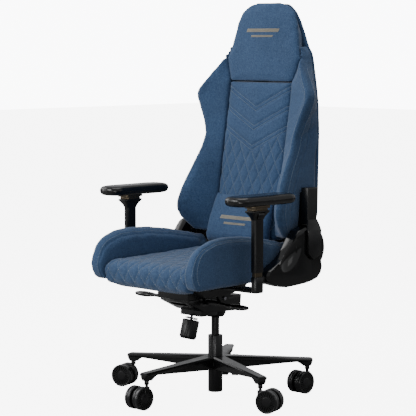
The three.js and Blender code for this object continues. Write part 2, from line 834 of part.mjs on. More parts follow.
// The seat side cover is a round boss with a swept tail, open towards the seat.
const tailCorners = [
  [-48, 450, 12],
  [-20, 411, 22],
  [40, 394, 40],
  [150, 400, 30],
  [206, 412, 25],
  [230, 442, 20],
  [226, 470, 10],
  [200, 515],
  [96, 530, 12],
  [44, 500, 14],
];
const wall = 3;
const tailMiddle = { y: 105, z: 455 };
const insideTail = tailCorners.map(([y, z, rounding = 0]) => [
  tailMiddle.y + (y - tailMiddle.y) * 0.955,
  tailMiddle.z + (z - tailMiddle.z) * 0.92,
  rounding,
]);
const reclinerCover = cutFrom(
  joined(
    sideSlab(tailCorners, 248, 290, 6),
    pivotDisc(RECLINER_RADIUS, 248, 278, 28),
    turned([[0, 0], [RECLINER_RADIUS, 0], [RECLINER_RADIUS - 7, 6.5], [0, 6.5]], 28)
      .rotateY(Math.PI / 2)
      .translate(277.5, RECLINE_PIVOT.y, RECLINE_PIVOT.z),
  ),
  sideSlab(insideTail, 240, 290 - wall),
  pivotDisc(RECLINER_RADIUS - 8, 240, 284 - wall, 28),
  pivotBore(1, 270, 295),
);
placePair("recliner_cover", reclinerCover, glossPlastic);

// The back side cover: an upright box section, a sloping step outwards and a pointed blade over the pivot.
const uprightCorners = [[158, 597], [203, 597], [203, 613], [211, 720], [160, 720]];
const uprightInside = [[161, 590], [200, 590], [200, 613], [208, 717], [163, 717]];
const step = loft([
  [577, 285.5, 300, 143, 207],
  [597, 285.5, 291, 150, 206],
  [613, 276, 283, 158, 203],
].map(([z, x0, x1, y0, y1]) => [
  [x0, y0, z],
  [x1, y0, z],
  [x1, y1, z],
  [x0, y1, z],
]));
const bladeCorners = [[143, 578], [143, 500], [168, 478], [207, 494], [207, 578]];
const backBracketCover = cutFrom(
  joined(sideSlab(uprightCorners, 247, 283, 3), step, sideSlab(bladeCorners, 291, 300)),
  sideSlab(uprightInside, 240, 283 - wall),
);
place("back_bracket_cover_left", backBracketCover, blackPlastic, leftSide);
place("back_bracket_cover_right", cutFrom(backBracketCover, pivotBore(1, 285, 305)), blackPlastic, rightSide);

// One release rod joins both recliners, and its lever is on the sitter's right.
place("recliner_rod", pivotDisc(5, -246.5, 313, 12), bareSteel, rightSide);
const leverArm = [[160, 530], [95, 522], [60, 517], [60, 492], [95, 492], [160, 500]];
const leverGrip = [[100, 524, 6], [34, 515, 10], [24, 500, 8], [34, 484, 10], [100, 490, 6]];
const reclineLever = cutFrom(
  joined(pivotDisc(17, 302, 309, 16), sideSlab(leverArm, 302, 309), sideSlab(leverGrip, 302, 318, 3)),
  pivotBore(RUNNING, 295, 320),
);
place("recline_lever", reclineLever, glossPlastic, rightSide);

// ---- Armrests ----
const armBox = (width, depth, [z0, z1]) =>
  box([ARM.x - width / 2, ARM.x + width / 2], [ARM.y - depth / 2, ARM.y + depth / 2], [z0, z1]);
const armBottom = 394;
const armBracket = joined(
  box([130, ARM.x - 10], [ARM.y - 22, ARM.y + 22], [armBottom, PAN_BOTTOM - GAP]),
  box([236, ARM.x - 10], [ARM.y - 18, ARM.y + 18], [armBottom, 409]),
  loftAlongZ([armBottom, armBottom + 4, ARM.socketTop], (z) => {
    const inset = z === armBottom ? 4 : 0;
    return cutRectangle(ARM.x, ARM.y, ARM.width - inset, ARM.depth - inset, 6);
  }),
  armBox(16, 32, [400, 600]),
);
placePair("arm_bracket", armBracket, blackPaint);

const headWidths = linesThrough([[634, ARM.width], [645, 30], [655, 38], [660, 46], [664.7, 46]]);
const headDepths = linesThrough([[634, ARM.depth], [645, 54], [655, 72], [660, 80], [664.7, 80]]);
const sleeveLevels = [ARM.sleeveBottom, 634, 645, 655, 660, 664.7];
const sleeveBody = loftAlongZ(sleeveLevels, (z) =>
  cutRectangle(ARM.x, ARM.y, headWidths(z), headDepths(z), 6));
const triggerPocket = box([313.5, 332], [ARM.y - 15, ARM.y + 15], [636, 660]);
const armSleeve = cutFrom(sleeveBody, armBox(17, 33, [450, 628]), triggerPocket);
placePair("arm_sleeve", armSleeve, blackPlastic);

const TRIGGER = { x: 321, z: 655 };
const armTrigger = joined(
  bar("y", 3.5, ARM.y - 13.5, ARM.y + 13.5, TRIGGER, 12),
  box([317.5, 324.5], [ARM.y - 13.5, ARM.y + 13.5], [638, TRIGGER.z]),
);
placePair("arm_trigger", armTrigger, glossPlastic);

const swivelPlate = loftAlongZ([665, 673], () => cutRectangle(ARM.x, ARM.y, 44, 76, 12));
placePair("arm_swivel_plate", swivelPlate, bronze);
const slidePlate = loftAlongZ([673.3, 682], () => cutRectangle(ARM.x, ARM.y, 52, 86, 10));
placePair("arm_slide_plate", slidePlate, bronze);

const padInset = linesThrough([[PAD.bottom, 18], [686, 7], [694, 0], [704, 0], [710, 6], [PAD.top, 20]]);
const padLevels = [PAD.bottom, 686, 694, 704, 710, PAD.top];
const armPad = loftAlongZ(padLevels, (z) => {
  const inset = padInset(z);
  const [halfWidth, halfLength] = [(PAD.width - inset) / 2, (PAD.length - inset) / 2];
  const corner = 34;
  const turns = 4;
  const ring = [];
  for (let quarter = 0; quarter < 4; quarter += 1) {
    const [sx, sy] = [[1, 1], [-1, 1], [-1, -1], [1, -1]][quarter];
    for (let k = 0; k < turns; k += 1) {
      const angle = (Math.PI / 2) * (quarter + k / (turns - 1));
      const x = sx * (halfWidth - corner) + corner * Math.cos(angle);
      const y = sy * (halfLength - corner) + corner * Math.sin(angle);
      ring.push([PAD.x + x, PAD.y + y]);
    }
  }
  return ring;
});
placePair("arm_pad", armPad, softPad);

const root = new THREE.Group();
root.add(chair);
export default root;
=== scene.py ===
import math

import bmesh
import bpy
import numpy as np
from mathutils import Matrix, Vector, noise
from mathutils.bvhtree import BVHTree
from mathutils.kdtree import KDTree


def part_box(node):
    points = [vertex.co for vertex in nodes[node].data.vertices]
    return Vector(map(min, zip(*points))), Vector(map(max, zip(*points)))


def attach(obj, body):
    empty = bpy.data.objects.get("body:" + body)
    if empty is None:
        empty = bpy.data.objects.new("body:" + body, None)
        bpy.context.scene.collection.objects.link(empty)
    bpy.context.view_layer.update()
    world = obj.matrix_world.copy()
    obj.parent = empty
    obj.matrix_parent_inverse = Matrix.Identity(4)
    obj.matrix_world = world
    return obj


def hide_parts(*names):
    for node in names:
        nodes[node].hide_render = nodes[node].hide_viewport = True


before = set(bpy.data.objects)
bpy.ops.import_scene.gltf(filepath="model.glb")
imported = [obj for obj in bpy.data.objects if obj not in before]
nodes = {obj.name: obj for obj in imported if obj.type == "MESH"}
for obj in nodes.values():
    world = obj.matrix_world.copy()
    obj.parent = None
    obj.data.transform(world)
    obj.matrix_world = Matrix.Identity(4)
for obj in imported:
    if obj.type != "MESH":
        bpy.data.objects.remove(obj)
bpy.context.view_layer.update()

columnLow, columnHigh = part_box("gas_lift_column")
columnY = (columnLow.y + columnHigh.y) / 2  # the gas lift's line; x is 0 there


def at(x, y, z):  # millimetres from the foot of the gas lift's line
    return Vector((x / 1000, y / 1000 + columnY, z / 1000))


# Picking and finishing

def deselectAll():
    if bpy.context.mode != "OBJECT":
        bpy.ops.object.mode_set(mode="OBJECT")
    bpy.ops.object.select_all(action="DESELECT")


def pick(piece):
    deselectAll()
    piece.select_set(True)
    bpy.context.view_layer.objects.active = piece
    return piece


def editFaces(piece, test=None):  # edit mode, with the faces that pass the test picked, or all of them
    pick(piece)
    bpy.ops.object.mode_set(mode="EDIT")
    bpy.ops.mesh.select_mode(type="FACE")
    bpy.ops.mesh.select_all(action="DESELECT" if test else "SELECT")
    if test:
        mesh = bmesh.from_edit_mesh(piece.data)
        for face in mesh.faces:
            face.select_set(bool(test(face)))
        bmesh.update_edit_mesh(piece.data)


def endEdit():
    bpy.ops.object.mode_set(mode="OBJECT")


def addModifier(piece, kind, **settings):
    modifier = piece.modifiers.new(kind.lower(), kind)
    for key, value in settings.items():
        setattr(modifier, key, value)
    return modifier


def applyModifiers(piece):
    pick(piece)
    for modifier in list(piece.modifiers):
        bpy.ops.object.modifier_apply(modifier=modifier.name)


def applyPlace(piece):
    pick(piece)
    bpy.ops.object.transform_apply(location=True, rotation=True, scale=True)


def cleanMesh(piece):
    editFaces(piece)
    bpy.ops.mesh.remove_doubles(threshold=0.00001)
    bpy.ops.mesh.normals_make_consistent(inside=False)
    endEdit()


def joinPieces(pieces, name):
    deselectAll()
    for piece in pieces:
        piece.select_set(True)
    bpy.context.view_layer.objects.active = pieces[0]
    bpy.ops.object.join()
    pieces[0].name = name
    return pieces[0]


def copyPiece(piece, name, matrix=None):
    copied = bpy.data.objects.new(name, piece.data.copy())
    bpy.context.scene.collection.objects.link(copied)
    if matrix is not None:
        copied.data.transform(matrix)
        if matrix.determinant() < 0:
            copied.data.flip_normals()
    return copied


def finishPiece(piece, body, material, stoodFor=(), smoothAngle=32):
    applyModifiers(piece)
    applyPlace(piece)
    pick(piece)
    bpy.ops.object.shade_smooth_by_angle(angle=math.radians(smoothAngle))
    piece.data.materials.clear()
    piece.data.materials.append(material)
    if stoodFor:
        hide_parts(*stoodFor)
    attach(piece, body)
    return piece


def nodeCopy(node, name):  # a node's own shape, merged and with its flat areas made whole
    piece = bpy.data.objects.new(name, nodes[node].data.copy())
    bpy.context.scene.collection.objects.link(piece)
    editFaces(piece)
    bpy.ops.mesh.remove_doubles(threshold=0.00001)
    bpy.ops.mesh.dissolve_limited(angle_limit=math.radians(1))
    endEdit()
    if piece.data.has_custom_normals:
        pick(piece)
        bpy.ops.mesh.customdata_custom_splitnormals_clear()
    return piece


# Shader node groups and materials

def newGroup(name, inputs, outputs):
    group = bpy.data.node_groups.new(name, "ShaderNodeTree")
    for label, kind, value in inputs:
        socket = group.interface.new_socket(label, in_out="INPUT", socket_type="NodeSocket" + kind)
        if value is not None:
            socket.default_value = value
    for label, kind in outputs:
        group.interface.new_socket(label, in_out="OUTPUT", socket_type="NodeSocket" + kind)
    return group, group.nodes.new("NodeGroupInput"), group.nodes.new("NodeGroupOutput")


def addNode(tree, kind, settings=None, **inputs):
    node = tree.nodes.new("ShaderNode" + kind)
    for key, value in (settings or {}).items():
        setattr(node, key, value)
    for key, value in inputs.items():
        socket = node.inputs[int(key[1:])] if key[0] == "i" and key[1:].isdigit() else node.inputs[key]
        if isinstance(value, bpy.types.NodeSocket):
            tree.links.new(value, socket)
        else:
            socket.default_value = value
    return node


def mathNode(tree, operation, a, b=0.0, clamp=False):
    return addNode(tree, "Math", {"operation": operation, "use_clamp": clamp}, i0=a, i1=b).outputs[0]


def mixColours(tree, factor, a, b, blend="MIX"):
    node = addNode(tree, "Mix", {"data_type": "RGBA", "blend_type": blend}, i0=factor, i6=a, i7=b)
    return node.outputs[2]


def mapRange(tree, value, low, high, toLow=0.0, toHigh=1.0):
    node = addNode(tree, "MapRange", None, i0=value, i1=low, i2=high, i3=toLow, i4=toHigh)
    return node.outputs[0]


# A twill of yarns that shows on faces of every direction, with heathered light and dark flecks.
twill = {
    "fineScale": 620, "coarseScale": 210, "broadScale": 9, "fineShare": 0.55, "coarseShare": 0.45,
    "middle": 0.5, "lightest": 0.68, "darkest": 0.33,  # the speckle at which the flecks start and are full
    "weaveShade": 0.32, "broadLow": 0.93, "broadHigh": 1.07, "weaveHeight": 0.7, "fuzzHeight": 0.5,
}
clothGroup, clothIn, clothOut = newGroup(
    "heatheredTwill",
    [("Vector", "Vector", None), ("Yarn", "Float", 0.0018), ("Fleck", "Float", 0.5),
     ("Main", "Color", (0.1, 0.2, 0.3, 1)), ("Light", "Color", (0.2, 0.3, 0.4, 1)),
     ("Dark", "Color", (0, 0, 0.1, 1))],
    [("Color", "Color"), ("Height", "Float")],
)
apart = addNode(clothGroup, "SeparateXYZ", None, i0=clothIn.outputs["Vector"])
x, y, z = apart.outputs
times = lambda a, b: mathNode(clothGroup, "MULTIPLY", a, b)
rate = mathNode(clothGroup, "DIVIDE", 2 * math.pi, clothIn.outputs["Yarn"])
along = mathNode(clothGroup, "ADD", x, y)
warp = mathNode(clothGroup, "SINE", times(along, rate))
across = mathNode(clothGroup, "ADD", z, mathNode(clothGroup, "SUBTRACT", x, y))
weft = mathNode(clothGroup, "SINE", times(across, rate))
weave = mapRange(clothGroup, times(warp, weft), -1, 1)
spot, fleck = clothIn.outputs["Vector"], clothIn.outputs["Fleck"]
fine = addNode(clothGroup, "TexNoise", None, Vector=spot, Scale=twill["fineScale"], Detail=2, Roughness=0.6)
coarse = addNode(clothGroup, "TexNoise", None, Vector=spot, Scale=twill["coarseScale"], Detail=3,
                 Roughness=0.65)
broad = addNode(clothGroup, "TexNoise", None, Vector=spot, Scale=twill["broadScale"], Detail=2)
speckle = mathNode(clothGroup, "ADD", times(fine.outputs[0], twill["fineShare"]),
                   times(coarse.outputs[0], twill["coarseShare"]))
lightMask = times(mapRange(clothGroup, speckle, twill["middle"], twill["lightest"]), fleck)
darkMask = times(mapRange(clothGroup, speckle, twill["middle"], twill["darkest"]), fleck)
body = mixColours(clothGroup, lightMask, clothIn.outputs["Main"], clothIn.outputs["Light"])
body = mixColours(clothGroup, darkMask, body, clothIn.outputs["Dark"])
furrow = mapRange(clothGroup, weave, 0, 1, twill["weaveShade"], 0.0)
body = mixColours(clothGroup, furrow, body, clothIn.outputs["Dark"])
shade = mapRange(clothGroup, broad.outputs[0], 0.3, 0.7, twill["broadLow"], twill["broadHigh"])
grey = addNode(clothGroup, "CombineColor", None, i0=shade, i1=shade, i2=shade).outputs[0]
body = mixColours(clothGroup, 1.0, body, grey, "MULTIPLY")
fuzz = times(fine.outputs[0], twill["fuzzHeight"])
height = mathNode(clothGroup, "ADD", times(weave, twill["weaveHeight"]), fuzz)
clothGroup.links.new(body, clothOut.inputs["Color"])
clothGroup.links.new(height, clothOut.inputs["Height"])

# Fine grain of a moulded or painted surface, broad smudges that change its roughness, and lighter specks on
# up-facing faces: settled dust and painted top light.
grain = {"hazeScale": 14, "speckScale": 420, "dustAndTopLightFrom": 0.55, "dustAndTopLightTo": 0.8, "dustAndTopLightMost": 0.35}
grainGroup, grainIn, grainOut = newGroup(
    "surfaceGrain",
    [("Vector", "Vector", None), ("Scale", "Float", 900.0), ("Low", "Float", 0.3), ("High", "Float", 0.5),
     ("Base", "Color", (0.02, 0.02, 0.02, 1)), ("Dust", "Color", (0.1, 0.1, 0.1, 1))],
    [("Height", "Float"), ("Roughness", "Float"), ("Color", "Color")],
)
pebble = addNode(grainGroup, "TexVoronoi", {"feature": "SMOOTH_F1"}, Vector=grainIn.outputs["Vector"],
                 Scale=grainIn.outputs["Scale"])
haze = addNode(grainGroup, "TexNoise", None, Vector=grainIn.outputs["Vector"], Scale=grain["hazeScale"],
               Detail=5, Roughness=0.6)
specks = addNode(grainGroup, "TexNoise", None, Vector=grainIn.outputs["Vector"], Scale=grain["speckScale"],
                 Detail=2)
rough = mapRange(grainGroup, haze.outputs[0], 0.3, 0.7, grainIn.outputs["Low"], grainIn.outputs["High"])
normalUp = addNode(grainGroup, "SeparateXYZ", None, i0=addNode(grainGroup, "NewGeometry").outputs["Normal"])
# settled dust and painted top light: faces that point up are lightened in specks towards the lighter colour
speckShare = mapRange(grainGroup, specks.outputs[0], grain["dustAndTopLightFrom"], grain["dustAndTopLightTo"], 0.0, grain["dustAndTopLightMost"])
dustAndTopLightMask = mathNode(grainGroup, "MULTIPLY", mapRange(grainGroup, normalUp.outputs[2], 0.3, 1.0), speckShare)
dustedAndTopLit = mixColours(grainGroup, dustAndTopLightMask, grainIn.outputs["Base"], grainIn.outputs["Dust"])
grainGroup.links.new(pebble.outputs["Distance"], grainOut.inputs["Height"])
grainGroup.links.new(rough, grainOut.inputs["Roughness"])
grainGroup.links.new(dustedAndTopLit, grainOut.inputs["Color"])


def placeGroup(tree, group, **values):
    node = tree.nodes.new("ShaderNodeGroup")
    node.node_tree = group
    for key, value in values.items():
        if isinstance(value, bpy.types.NodeSocket):
            tree.links.new(value, node.inputs[key])
        else:
            node.inputs[key].default_value = value
    return node


def newMaterial(name, sockets):
    material = bpy.data.materials.new(name)
    material.use_nodes = True
    shader = material.node_tree.nodes["Principled BSDF"]
    for key, value in sockets.items():
        shader.inputs[key].default_value = value
    return material, material.node_tree, shader


def addBump(tree, shader, height, distance, strength):
    bump = addNode(tree, "Bump", None, Height=height, Distance=distance, Strength=strength)
    tree.links.new(bump.outputs[0], shader.inputs["Normal"])


clothSockets = {"Roughness": 0.88, "Sheen Weight": 0.22, "Sheen Roughness": 0.45, "Specular IOR Level": 0.25}
bumps = {"clothDepth": 0.0005, "clothStrength": 0.55, "grainDepth": 0.0003}


def clothMaterial(name, main, light, dark, yarn=0.0018, fleck=0.75):
    material, tree, shader = newMaterial(name, clothSockets)
    place = tree.nodes.new("ShaderNodeTexCoord").outputs["Object"]
    cloth = placeGroup(tree, clothGroup, Vector=place, Yarn=yarn, Fleck=fleck, Main=(*main, 1),
                       Light=(*light, 1), Dark=(*dark, 1))
    tree.links.new(cloth.outputs["Color"], shader.inputs["Base Color"])
    addBump(tree, shader, cloth.outputs["Height"], bumps["clothDepth"], bumps["clothStrength"])
    return material


# the last colour lightens up-facing faces in specks: settled dust and painted top light
def grainMaterial(name, base, low, high, scale, bump, specular=0.5, metallic=0.0, dustAndTopLight=(0.03, 0.03, 0.032)):
    material, tree, shader = newMaterial(name, {"Specular IOR Level": specular, "Metallic": metallic})
    place = tree.nodes.new("ShaderNodeTexCoord").outputs["Object"]
    surface = placeGroup(tree, grainGroup, Vector=place, Scale=scale, Low=low, High=high, Base=(*base, 1),
                         Dust=(*dustAndTopLight, 1))
    tree.links.new(surface.outputs["Color"], shader.inputs["Base Color"])
    tree.links.new(surface.outputs["Roughness"], shader.inputs["Roughness"])
    addBump(tree, shader, surface.outputs["Height"], bumps["grainDepth"], bump)
    return material


# name, main, light and dark colours, yarn width in metres, share of flecks
blueCloth = clothMaterial("blueTwill", (0.05, 0.105, 0.215), (0.115, 0.195, 0.33), (0.013, 0.033, 0.08))
seamThread = clothMaterial("seamThread", (0.26, 0.32, 0.4), (0.36, 0.41, 0.47), (0.16, 0.2, 0.26), 0.0006, 0.4)
trimThread = clothMaterial("trimThread", (0.55, 0.52, 0.45), (0.7, 0.67, 0.6), (0.35, 0.33, 0.28), 0.0009, 0.5)
# name, colour, least and most roughness, grain scale, bump strength
paintedBlack = grainMaterial("powderCoat", (0.005, 0.0052, 0.0056), 0.18, 0.3, 1300, 0.1, specular=0.45)
plasticBlack = grainMaterial("mouldedBlack", (0.004, 0.0041, 0.0045), 0.24, 0.38, 1700, 0.16, specular=0.38)
glossBlack = grainMaterial("glossBlack", (0.002, 0.002, 0.0024), 0.08, 0.17, 1100, 0.03)
wheelBlack = grainMaterial("wheelBlack", (0.003, 0.0032, 0.0036), 0.12, 0.24, 1500, 0.06)
padBlack = grainMaterial("softPad", (0.0022, 0.0023, 0.0028), 0.14, 0.22, 2200, 0.12)
bronzePlate = grainMaterial("bronzePlate", (0.1, 0.08, 0.055), 0.28, 0.4, 1500, 0.05, metallic=0.9)
steelBright = grainMaterial("bareSteel", (0.25, 0.25, 0.27), 0.22, 0.38, 1400, 0.05, metallic=1.0)
print("materials made")

# Camera and light

cameraData = {"azimuth": 45.0, "elevation": 5.4225, "place": (4267.2, -4302.6, 1219.9), "lens": 154.38}


def makeCamera():
    azimuth, elevation = math.radians(cameraData["azimuth"]), math.radians(cameraData["elevation"])
    back = Vector((math.sin(azimuth) * math.cos(elevation), -math.cos(azimuth) * math.cos(elevation),
                   math.sin(elevation)))
    bpy.ops.object.camera_add(location=at(*cameraData["place"]))
    camera = bpy.context.object
    camera.rotation_mode = "QUATERNION"
    camera.rotation_quaternion = (-back).to_track_quat("-Z", "Y")
    camera.data.lens = cameraData["lens"]
    camera.data.sensor_width = 36
    camera.data.clip_end = 60
    bpy.context.scene.camera = camera


lamps = [  # place, width, height and power of each soft box, and the spot it faces
    {"place": (-1.5, -3.6, 2.3), "size": (2.4, 2.4), "power": 88, "aim": (0, 0, 0.75)},
    {"place": (-3.4, -0.9, 2.4), "size": (2.0, 2.0), "power": 34, "aim": (0, 0, 0.8)},
    {"place": (0.2, 0.3, 3.6), "size": (2.6, 2.6), "power": 44, "aim": (0, 0, 0.5)},
    {"place": (3.3, 1.6, 1.6), "size": (1.2, 1.2), "power": 4, "aim": (0, 0, 0.6)},
    {"place": (1.2, -4.2, 1.3), "size": (0.25, 2.4), "power": 13, "aim": (0, 0, 0.5)},
    {"place": (-3.6, -2.6, 1.2), "size": (0.3, 2.4), "power": 16, "aim": (0, 0, 0.5)},
    {"place": (1.9, -2.1, 0.35), "size": (0.5, 0.5), "power": 6, "aim": (0, 0, 0.06)},
]
studio = {  # strength of the surround, and the floor's colour and glow, to the lens and to other rays
    "surround": 0.28, "mirrored": 0.22, "seen": 10.0, "tint": (0.97, 0.98, 1, 1),
    "floorSize": 40, "floorDrop": 0.0005, "floorSeen": 0.85, "floorBounce": 0.3, "floorGlow": 7.0,
}


def makeLight():
    for lamp in lamps:
        bpy.ops.object.light_add(type="AREA", location=lamp["place"])
        light = bpy.context.object
        light.data.shape = "RECTANGLE"
        light.data.size, light.data.size_y = lamp["size"]
        light.data.energy = lamp["power"]
        light.rotation_mode = "QUATERNION"
        towards = Vector(lamp["aim"]) - Vector(lamp["place"])
        light.rotation_quaternion = towards.to_track_quat("-Z", "Y")
    world = bpy.data.worlds.new("studio")
    bpy.context.scene.world = world
    world.use_nodes = True
    tree = world.node_tree
    path = addNode(tree, "LightPath")
    strength = mapRange(tree, path.outputs["Is Camera Ray"], 0, 1, studio["surround"], studio["seen"])
    mirrored = mathNode(tree, "MULTIPLY", path.outputs["Is Glossy Ray"], studio["mirrored"])
    strength = mathNode(tree, "ADD", strength, mirrored)
    tree.links.new(strength, tree.nodes["Background"].inputs[1])
    tree.nodes["Background"].inputs[0].default_value = studio["tint"]


def makeFloor():
    deselectAll()
    bpy.ops.mesh.primitive_plane_add(size=studio["floorSize"], location=(0, 0, -studio["floorDrop"]))
    floor = bpy.context.object
    floor.name = "floor"
    material, tree, shader = newMaterial("paleFloor", {"Roughness": 0.8, "Emission Color": (1, 1, 1, 1)})
    seen = addNode(tree, "LightPath").outputs["Is Camera Ray"]
    pale, bounced = studio["floorSeen"], studio["floorBounce"]
    colour = mixColours(tree, seen, (bounced, bounced, bounced, 1), (pale, pale, pale, 1))
    tree.links.new(colour, shader.inputs["Base Color"])
    tree.links.new(mathNode(tree, "MULTIPLY", seen, studio["floorGlow"]), shader.inputs["Emission Strength"])
    floor.data.materials.append(material)


makeCamera()
makeLight()
makeFloor()
print("camera, light and floor made")

# Stuffed pieces

softScene = bpy.context.scene


def meshPoints(piece):
    points = np.empty(len(piece.data.vertices) * 3, np.float32)
    piece.data.vertices.foreach_get("co", points)
    return points.reshape(-1, 3).astype(float)


def setPoints(piece, points):
    piece.data.vertices.foreach_set("co", points.astype(np.float32).ravel())
    piece.data.update()


def meshNormals(piece):
    normals = np.empty(len(piece.data.vertices) * 3, np.float32)
    piece.data.vertices.foreach_get("normal", normals)
    return normals.reshape(-1, 3).astype(float)


def treeOf(piece):
    mesh = bmesh.new()
    mesh.from_mesh(piece.data)
    found = BVHTree.FromBMesh(mesh)
    mesh.free()
    return found


stuffing = {  # shared by all stuffed pieces; a piece's own dictionary holds what differs
    "frames": 20, "quality": 3, "smooth": 0.5, "quickVoxel": 1.15,
    "broadRipple": 16, "broadShare": 0.7, "fineRipple": 45, "fineShare": 0.3,
}


def swell(piece, pressure, cap):  # cloth with air pressure in it, and no point moves further than cap
    before = meshPoints(piece)
    cloth = piece.modifiers.new("padding", "CLOTH")
    cloth.settings.use_pressure = True
    cloth.settings.uniform_pressure_force = pressure
    cloth.settings.effector_weights.gravity = 0
    cloth.settings.quality = stuffing["quality"]
    cloth.collision_settings.use_collision = False
    cloth.point_cache.frame_start = 1
    cloth.point_cache.frame_end = stuffing["frames"]
    for frameNumber in range(1, stuffing["frames"] + 1):
        softScene.frame_set(frameNumber)
    applyModifiers(piece)
    softScene.frame_set(1)
    moved = meshPoints(piece) - before
    length = np.linalg.norm(moved, axis=1)
    share = np.where(length > cap, cap / np.maximum(length, 1e-9), 1.0)
    setPoints(piece, before + moved * share[:, None])


clearance = {"gap": 0.0004, "reach": 0.004, "search": 0.012, "touching": 0.001, "facing": -0.5}


def keepClear(piece, neighbours):  # points inside a neighbouring node come out to just above its face
    points, gap = meshPoints(piece), clearance["gap"]
    for node in neighbours:
        tree = treeOf(nodes[node])
        low, high = (np.array(corner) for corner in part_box(node))
        around = (points > low - clearance["reach"]) & (points < high + clearance["reach"])
        near = np.where(np.all(around, axis=1))[0]
        for index in near:
            spot, normal, _, distance = tree.find_nearest(Vector(points[index]), clearance["search"])
            if spot is None:
                continue
            height = (Vector(points[index]) - spot).dot(normal)
            if height < gap and (distance < clearance["touching"] or height < clearance["facing"] * distance):
                points[index] = np.array(spot + normal * gap)
    setPoints(piece, points)


def stuffedPiece(node, padding, neighbours, ending="cover"):
    piece = nodeCopy(node, f"{node}_{ending}")
    voxel = padding["voxel"] * 1
    addModifier(piece, "REMESH", mode="VOXEL", voxel_size=voxel)
    applyModifiers(piece)
    addModifier(piece, "SMOOTH", factor=stuffing["smooth"], iterations=padding["relax"])
    applyModifiers(piece)
    swell(piece, padding["pressure"], padding["cap"])
    addModifier(piece, "SMOOTH", factor=stuffing["smooth"], iterations=1)
    applyModifiers(piece)
    keepClear(piece, neighbours)
    addModifier(piece, "SUBSURF", levels=1, render_levels=1)
    applyModifiers(piece)
    points, normals = meshPoints(piece), meshNormals(piece)
    for index, point in enumerate(points):
        broadWave = noise.noise(Vector(point) * stuffing["broadRipple"]) * stuffing["broadShare"]
        fineWave = noise.noise(Vector(point) * stuffing["fineRipple"]) * stuffing["fineShare"]
        points[index] += normals[index] * (broadWave + fineWave) * padding["ripple"]
    setPoints(piece, points)
    print("stuffed", piece.name, len(piece.data.vertices))
    return piece


rayReach = 0.7


def traceRays(piece, rays):  # where each ray (origin, direction) meets the piece, with the surface's normal
    tree = treeOf(piece)
    hits = []
    for origin, direction in rays:
        spot, normal, _, _ = tree.ray_cast(origin, direction, rayReach)
        if spot is not None:
            hits.append((spot, normal))
    return hits


def sewnSurface(piece, rows, seam):  # the cloth stands up between the rows of rays and dips along them
    lines = [traceRays(piece, rays) for rays in rows]
    kd = KDTree(sum(len(line) for line in lines))
    count = 0
    for line in lines:
        for spot, _ in line:
            kd.insert(spot, count)
            count += 1
    kd.balance()
    points, normals = meshPoints(piece), meshNormals(piece)
    for index, point in enumerate(points):
        _, _, distance = kd.find(Vector(point))
        if distance < seam["width"] * 4:
            points[index] -= normals[index] * seam["dip"] * math.exp(-((distance / seam["width"]) ** 2))
    setPoints(piece, points)


stitchSize = {"length": 0.0042, "gap": 0.0012, "thickness": 0.0015, "lift": 0.0004, "longestStep": 0.02}


def makeStitchShape():
    deselectAll()
    bpy.ops.mesh.primitive_uv_sphere_add(segments=6, ring_count=4, radius=0.5, rotation=(0, math.pi / 2, 0))
    shape = bpy.context.object
    applyPlace(shape)
    thickness = stitchSize["thickness"]
    points = meshPoints(shape) * np.array((stitchSize["length"], thickness, thickness))
    faces = [tuple(face.vertices) for face in shape.data.polygons]
    bpy.data.objects.remove(shape)
    return points, faces


stitchPoints, stitchFaces = makeStitchShape()


def sewStitches(name, lines):
    allPoints, allFaces = [], []
    pitch = stitchSize["length"] + stitchSize["gap"]
    for line in lines:
        travelled, due = 0.0, pitch / 2
        for (start, startNormal), (end, endNormal) in zip(line, line[1:]):
            step = (end - start).length
            if step > stitchSize["longestStep"] or step < 1e-7:
                continue
            while travelled + step >= due:
                share = (due - travelled) / step
                middle = start.lerp(end, share)
                up = startNormal.lerp(endNormal, share).normalized()
                along = (end - start).normalized()
                side = up.cross(along).normalized()
                turn = np.array([along, side, along.cross(side)])
                base = len(allPoints) * len(stitchPoints)
                allPoints.append(stitchPoints @ turn + np.array(middle + up * stitchSize["lift"]))
                allFaces.extend(tuple(corner + base for corner in face) for face in stitchFaces)
                due += pitch
            travelled += step
    mesh = bpy.data.meshes.new(name)
    mesh.from_pydata(np.concatenate(allPoints).tolist(), [], allFaces)
    piece = bpy.data.objects.new(name, mesh)
    softScene.collection.objects.link(piece)
    return piece


def finishStuffed(cover, node, body, stitchRows=()):  # the cover stands for its node
    if stitchRows:
        stitches = sewStitches(f"{node}_stitches", [traceRays(cover, rays) for rays in stitchRows])
    finishPiece(cover, body, blueCloth, (node,), 80)
    if stitchRows:
        finishPiece(stitches, body, seamThread)


# Seat

rearwards = Vector((0, 1, 0))
bothSides = (("left", 1), ("right", -1))
seatCushion = {
    "voxel": 0.0066, "relax": 3, "pressure": 4.0, "cap": 0.004, "ripple": 0.0008, "fill": 0.75,
    "across": 0.05, "along": 0.098, "step": 0.003, "dip": 0.0024, "width": 0.007,  # the quilting
    "reach": 0.2, "start": 0.012, "end": 0.03, "phase": (0.0, 0.02), "margin": 0.006, "above": 0.05,
    "halfWidth": 0.1753, "taper": 0.0667,
}


def quiltLines(size, lowU, highU, lowV, highV, keep):  # two crossing families of slanting lines
    lines = []
    rise = size["along"] / size["across"]
    reach = int((highU - lowU) / size["across"] + (highV - lowV) / size["along"]) + 3
    for lean in (1, -1):
        for index in range(-reach, reach + 1):
            line = []
            steps = int((highV - lowV) / size["step"]) + 1
            for k in range(steps + 1):
                v = lowV + (highV - lowV) * k / steps
                u = size["phase"][0] + index * size["across"] + lean * (v - size["phase"][1]) / rise
                if lowU <= u <= highU and keep(u, v):
                    line.append((u, v))
                elif line:
                    lines.append(line)
                    line = []
            if line:
                lines.append(line)
    return [line for line in lines if len(line) > 3]


# The seat's middle line in the side view: from under the lip, up the front and back over the top.
seatProfile = [at(0, y, z) for y, z in (
    (-320, 398), (-338, 412), (-345, 436), (-342, 456), (-330, 472), (-312, 479),
    (-280, 482), (-200, 486), (-100, 490), (0, 494), (60, 496), (112, 494))]


